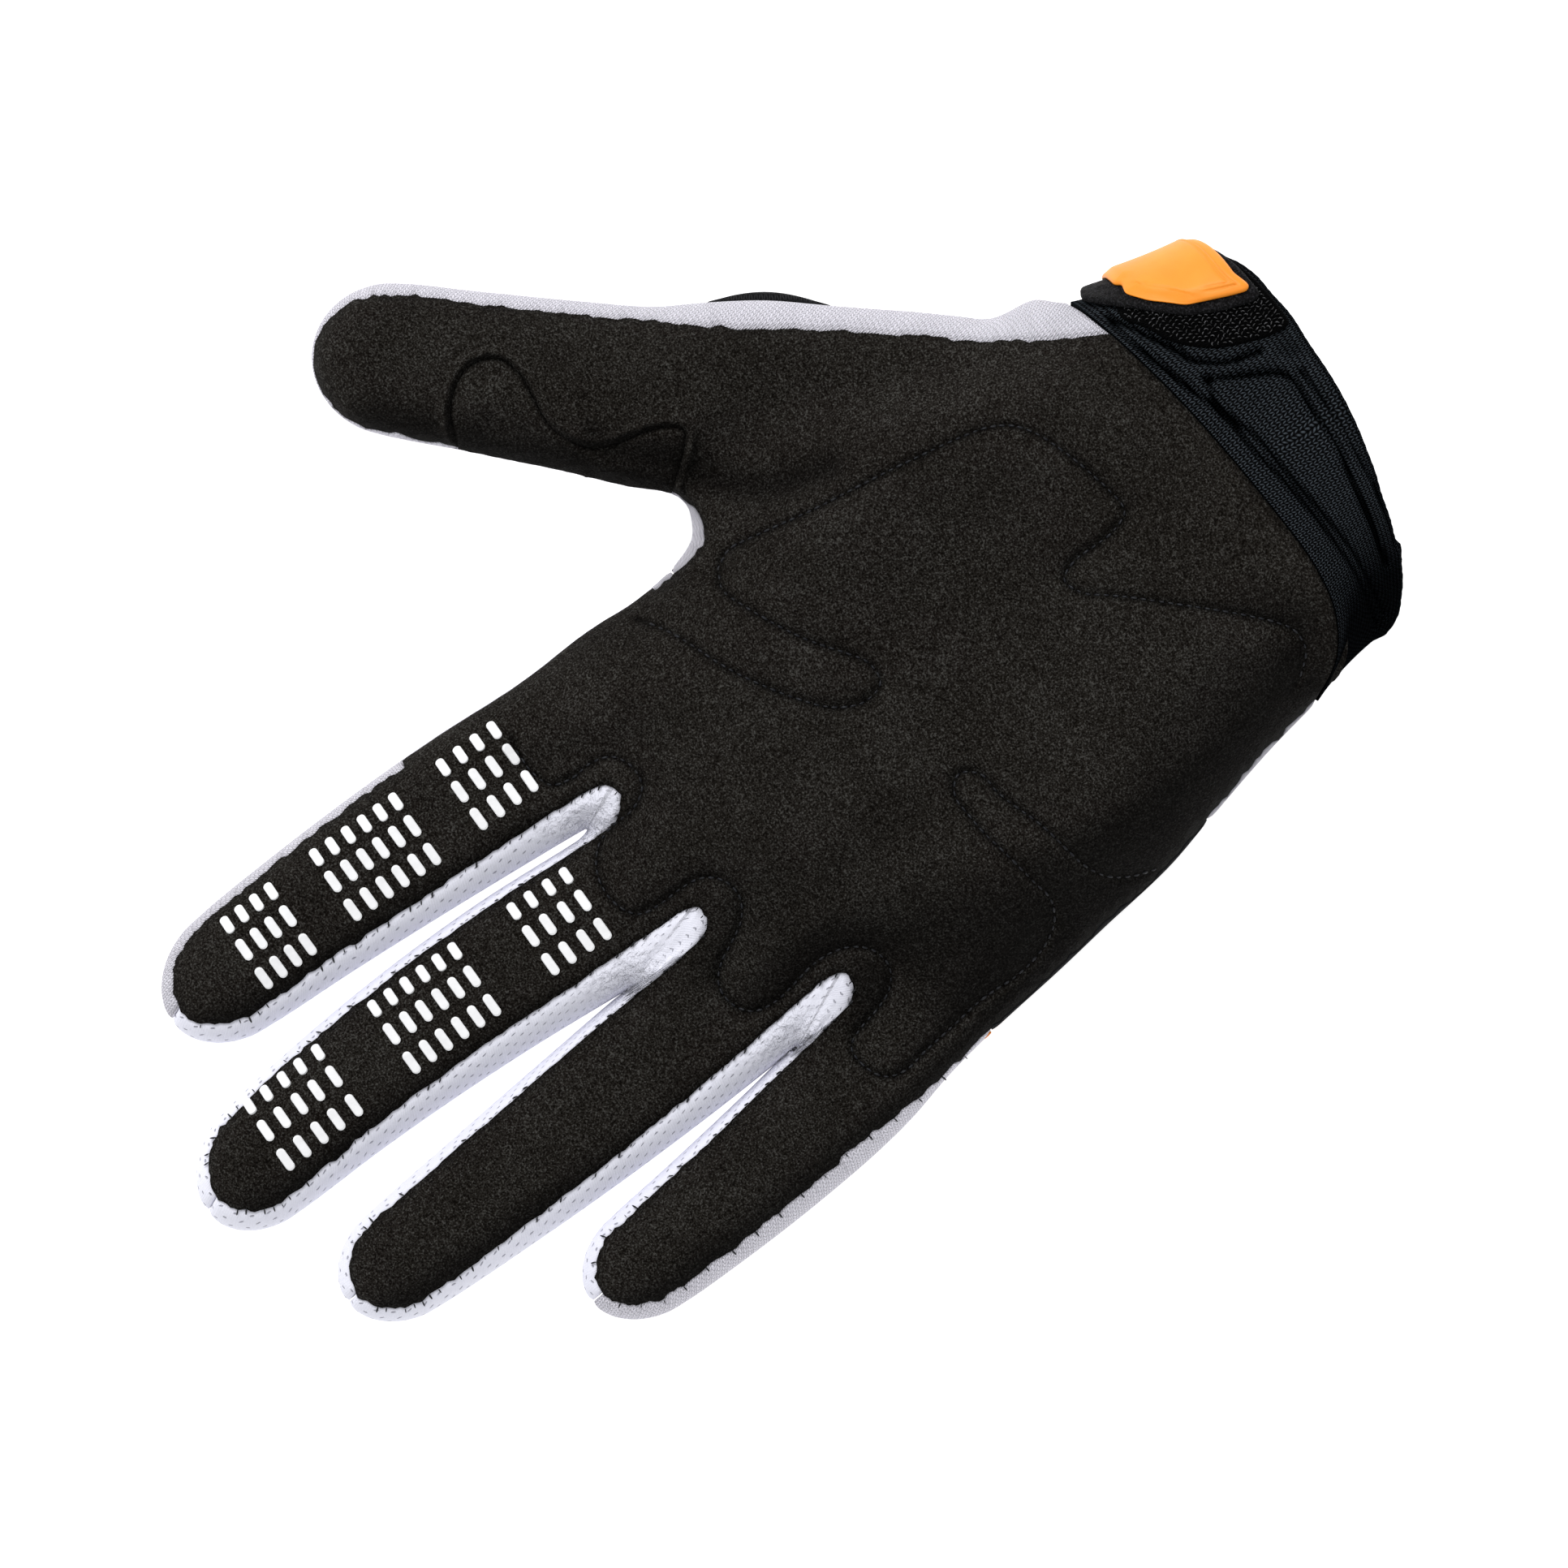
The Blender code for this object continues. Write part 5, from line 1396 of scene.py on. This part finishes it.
# %% Lay the stitches
STITCH_PITCH, STITCH_LIFT = 1.55, 0.07
stitches = stitch_tree()
places, ways, ups = [], [], []
for line in stitch_lines.values():
    run_line = even_curve(line[::4], STITCH_PITCH)
    way = unit(np.gradient(run_line, axis=0))
    z, up = palm_up(run_line)
    rise = (way * -up[:, :2]).sum(1) / up[:, 2]
    places.append(np.column_stack([run_line, z + STITCH_LIFT]))
    ways.append(unit(np.column_stack([way, rise])))
    ups.append(up)
row = spots_object("stitch_places", *(np.concatenate(v) for v in (places, ways, ups)))
grow("palm_stitches", row, stitches, {"Stitch Length": 1.15 * MM, "Thread": 0.44 * MM,
                                      "Spread": 0.18, "Seed": 3, "Finish": finishes["thread"]})

# %% Ticks of thread on the edge of the mesh
TICK_PITCH, SIDE_TICK_PITCH, TICK_LEAN, TICK_SINK = 2.3, 5.6, 0.35, 0.12
edges = []
tick_runs = [(APEX[a] + 6, APEX[b] - 6, TICK_PITCH, -0.12) for a, b in FOURCHETTES]
tick_runs.append((APEX["little"] + 5, BAND_TOP - 4, SIDE_TICK_PITCH, -1.0))
for low, high, pitch, least in tick_runs:  # a tick is left out where the noise is below least
    line = np.column_stack([RAILS["palm"][low:high], skin.points[palm_row[low:high], 2]])
    out = unit(RAILS["side"][low:high] - RAILS["palm"][low:high])
    keep = np.array([i for i in range(0, len(line), max(int(pitch / RAIL_STEP), 1))
                     if noise.noise(Vector((line[i, 0], line[i, 1], 0.5))) > least])
    line, out, level = line[keep], out[keep], np.ones(len(keep))
    edges.append((line + np.column_stack([out * TICK_LEAN, level * -TICK_SINK]),
                  np.column_stack([out, level * -TICK_LEAN]),
                  np.column_stack([out * TICK_LEAN, level])))
row = spots_object("tick_places", *(np.concatenate([e[k] for e in edges]) for k in range(3)))
grow("seam_ticks", row, stitches, {"Stitch Length": 0.95 * MM, "Thread": 0.26 * MM,
                                   "Spread": 0.4, "Seed": 8, "Finish": finishes["thread"]})

# %% [markdown]
# ## Silicone grip dashes
# The index and the middle finger carry printed dashes of white silicone in three columns, in a
# block on each joint. Each dash is a flat bar with round ends, and stands a little proud so that
# it grips a lever. The tree draws the bar once from its length, width and height: a rounded
# rectangle, filled, pulled up, and narrowed at its top. The three columns differ in length, so
# each point also carries its share of it.

# %% A tree for the dashes
def dash_tree():
    g = Growth("grip_dashes", ("Length", "Float", 3.8 * MM), ("Width", "Float", 1.65 * MM),
               ("Height", "Float", 0.42 * MM))
    frame_line = g.node("GeometryNodeCurvePrimitiveQuadrilateral",
                        {"Width": g.given["Length"], "Height": g.given["Width"]})
    round_line = g.node("GeometryNodeFilletCurve", {
        "Curve": frame_line.outputs[0], "Radius": g.math("MULTIPLY", g.given["Width"], 0.49),
        "Count": 5}, mode="POLY")
    flat_bar = g.node("GeometryNodeFillCurve", {"Curve": round_line.outputs[0]}, mode="NGONS")
    low, high = (g.math("MULTIPLY", g.given["Height"], part) for part in (0.72, 0.28))
    wall = g.node("GeometryNodeExtrudeMesh", {"Mesh": flat_bar.outputs[0], "Offset Scale": low})
    crown = g.node("GeometryNodeExtrudeMesh", {
        "Mesh": wall.outputs["Mesh"], "Selection": wall.outputs["Top"], "Offset Scale": high})
    narrow = g.node("GeometryNodeScaleElements", {
        "Geometry": crown.outputs["Mesh"], "Selection": crown.outputs["Top"], "Scale": 0.86})
    scale = g.combine(g.attribute("share", "FLOAT"), 1.0, 1.0)
    return g.lay_copies(narrow.outputs[0], g.turned(), scale, rounded=False)


# %% Lay the dashes
DASH_LENGTHS, DASH_SHIFT, DASH_SINK = (0.86, 1.0, 1.04), (-0.18, -0.20), 0.12
ROW_SLOPE, DASH_SLOPE = 0.065, 0.080
DASH_BLOCKS = (  # columns' x, lean of the columns, rows' y, all on the plan
    ((23.4, 18.4, 12.6), -0.115, (179.9, 176.8, 173.7, 170.6)),
    ((25.5, 20.6, 14.8), -0.071, (161.0, 157.7, 154.4, 151.1, 147.8, 144.6)),
    ((27.4, 22.5, 16.9), -0.094, (134.7, 131.1, 127.6, 124.1)),
    ((-4.6, -9.4, -15.3), -0.130, (192.6, 189.0, 185.3, 181.7, 177.9)),
    ((-1.5, -6.6, -12.5), -0.080, (165.8, 162.4, 159.1, 155.7, 152.4, 149.1)),
    ((0.1, -4.9, -10.7), -0.055, (137.0, 133.5, 129.8, 126.3)),
)
spots, share = [], []
for columns, slope, dash_rows in DASH_BLOCKS:
    centre_y = sum(dash_rows) / len(dash_rows)
    for column, (x, length) in enumerate(zip(columns, DASH_LENGTHS)):
        for y in dash_rows:
            spots.append((x + slope * (y - centre_y), y + ROW_SLOPE * (x - columns[1])))
            share.append(length)
spots = np.array(spots) + DASH_SHIFT
lean = unit(np.tile((1.0, DASH_SLOPE), (len(spots), 1)))
z, up = palm_up(spots, 1.2)
way = unit(np.column_stack([lean, (lean * -up[:, :2]).sum(1) / up[:, 2]]))
row = spots_object("dash_places", np.column_stack([spots, z - DASH_SINK]), way, up,
                   (("share", share),))
grow("grip_dashes", row, dash_tree(), {"Length": 4.1 * MM, "Width": 1.6 * MM,
                                       "Height": 0.5 * MM, "Finish": finishes["silicone"]})

# %% [markdown]
# ## Loops on the closure's pad
# The pad is a strip woven with loops, which the strap hooks on to. Seen close, it is rows of tiny
# shiny rings on a dark ground. One small ring, half sunk in the pad, is set on a grid over it.

# %% A tree for the loops
def hook_tree():
    g = Growth("woven_hooks", ("Loop Radius", "Float", 0.3 * MM), ("Wire", "Float", 0.09 * MM),
               ("Seed", "Int", 5))
    ring, wire = (g.node("GeometryNodeCurvePrimitiveCircle",
                         {"Resolution": count, "Radius": g.given[label]}, mode="RADIUS")
                  for count, label in ((8, "Loop Radius"), (4, "Wire")))
    tube = g.node("GeometryNodeCurveToMesh", {"Curve": ring.outputs[0],
                                              "Profile Curve": wire.outputs[0]})
    stand = g.node("GeometryNodeTransform", {"Geometry": tube.outputs[0],
                                             "Rotation": (math.pi / 2, 0, 0)})
    sway = g.node("FunctionNodeRandomValue", {0: (-0.5, -0.5, -0.9), 1: (0.5, 0.5, 0.9),
                                              "Seed": g.given["Seed"]}, data_type="FLOAT_VECTOR")
    spin = g.node("FunctionNodeRotateRotation", {
        "Rotation": g.turned(), "Rotate By": sway.outputs[0]}, rotation_space="LOCAL")
    return g.lay_copies(stand.outputs[0], spin.outputs[0])


HOOK_PITCH = 0.95
grid = hex_points(pad_outline, HOOK_PITCH, [])
grid = grid[near(grid, closed(pad_outline))[0] > 0.6]
column, t = grid[:, 0] / STRETCH[0], grid[:, 1] / STRETCH[1]
lift = np.full(len(grid), PAD_LIFT + PAD_WALL)
here = on_cuff(column, t, lift + 0.02)
up = unit(on_cuff(column, t, lift + 1) - on_cuff(column, t, lift))
way = unit(on_cuff(column, t + 0.03, lift) - on_cuff(column, t, lift))
grow("hooks", spots_object("hook_places", here, way, up), hook_tree(),
     {"Loop Radius": 0.30 * MM, "Wire": 0.11 * MM, "Seed": 5, "Finish": finishes["hook_plastic"]})

# %% [markdown]
# ## Join the pieces to the imported model
# Each dressed panel takes the place of the imported solid with the same name, rides on the one
# body of the glove, and gets the finish listed for it.

# %% Ride, replace and give each panel its finish
SLOTS = {"palm_panel": "suede", "thumb_patch": "suede", "thumb_gusset": "white_knit",
         "thumb_back": "white_knit", "back_panel": "white_knit", "wrist_panel": "white_knit",
         "fourchette_index_middle": "white_mesh", "fourchette_middle_ring": "white_mesh",
         "fourchette_ring_little": "white_mesh", "back_band": "black_stretch",
         "cuff": "cuff_knit", "loop_pad": "loop_fabric", "closure_strap": "strap_felt",
         "pull_tab": "orange_rubber"}
for name, slot in SLOTS.items():
    piece = made[name]
    piece.name = "dressed_" + name
    piece.data.materials.append(finishes[slot])
    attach(piece, "root")
    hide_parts(name)
made["accent_stripe"].data.materials.append(finishes["orange_rubber"])
EXTRAS = (("accent_stripe", "orange_rubber"), ("palm_stitches", "suede"), ("seam_ticks", "suede"),
          ("grip_dashes", "suede"), ("hooks", "loop_fabric"))
for name, slot in EXTRAS:
    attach(made[name], "root")
print("pieces:", len(made))

# %% [markdown]
# ## Studio
# The photograph looks straight down on a glove that lies on white. We use a long lens high above
# it, turned so that the fingers point down to the left, a white floor, and large soft lights;
# the strongest stands beyond the top edge of the picture.

# %% Floor, lights and camera
VIEW_WIDTH, CAMERA_TURN = 0.2666, -121.0
PICTURE_CENTRE = np.array([-5.39, 86.71, 0])  # on the plan (mm)
LENS, SENSOR, AIM_HEIGHT = 216.0, 36.0, 0.013
bpy.ops.mesh.primitive_plane_add(size=6, location=(0, 0, -0.0004))
floor = bpy.context.object
floor.name = "floor"
floor_finish = bpy.data.materials.new("floor_white")
floor_finish.use_nodes = True
paper = floor_finish.node_tree.nodes["Principled BSDF"].inputs
for key, value in (("Base Color", (0.7, 0.7, 0.7, 1)), ("Roughness", 0.9),
                   ("Emission Color", (1.0, 1.0, 1.0, 1)), ("Emission Strength", 0.75)):
    paper[key].default_value = value
floor.data.materials.append(floor_finish)

scene = bpy.context.scene
scene.view_settings.view_transform = "Standard"
scene.view_settings.look = "None"
world = bpy.data.worlds.new("studio")
scene.world = world
world.use_nodes = True
sky = world.node_tree.nodes["Background"].inputs
sky["Color"].default_value, sky["Strength"].default_value = (0.98, 0.99, 1.0, 1), 0.60


def soft_light(name, place, size, power):
    lamp = bpy.data.lights.new(name, "AREA")
    lamp.shape, lamp.size, lamp.energy = "SQUARE", size, power
    obj = put_in_scene(name, lamp)
    obj.location = place
    obj.rotation_euler = (-Vector(place)).to_track_quat("-Z", "Y").to_euler()


soft_light("key", (1.00, -0.10, 1.00), 0.8, 11.0)
soft_light("fill", (0.30, -0.10, 1.60), 1.0, 3.5)
lens = bpy.data.cameras.new("camera")
lens.lens, lens.sensor_width = LENS, SENSOR
camera = put_in_scene("camera", lens)
aim = (PICTURE_CENTRE + SHIFT) * MM
camera.location = (aim[0], aim[1], AIM_HEIGHT + VIEW_WIDTH * LENS / SENSOR)
camera.rotation_euler = (0, 0, math.radians(CAMERA_TURN))
scene.camera = camera
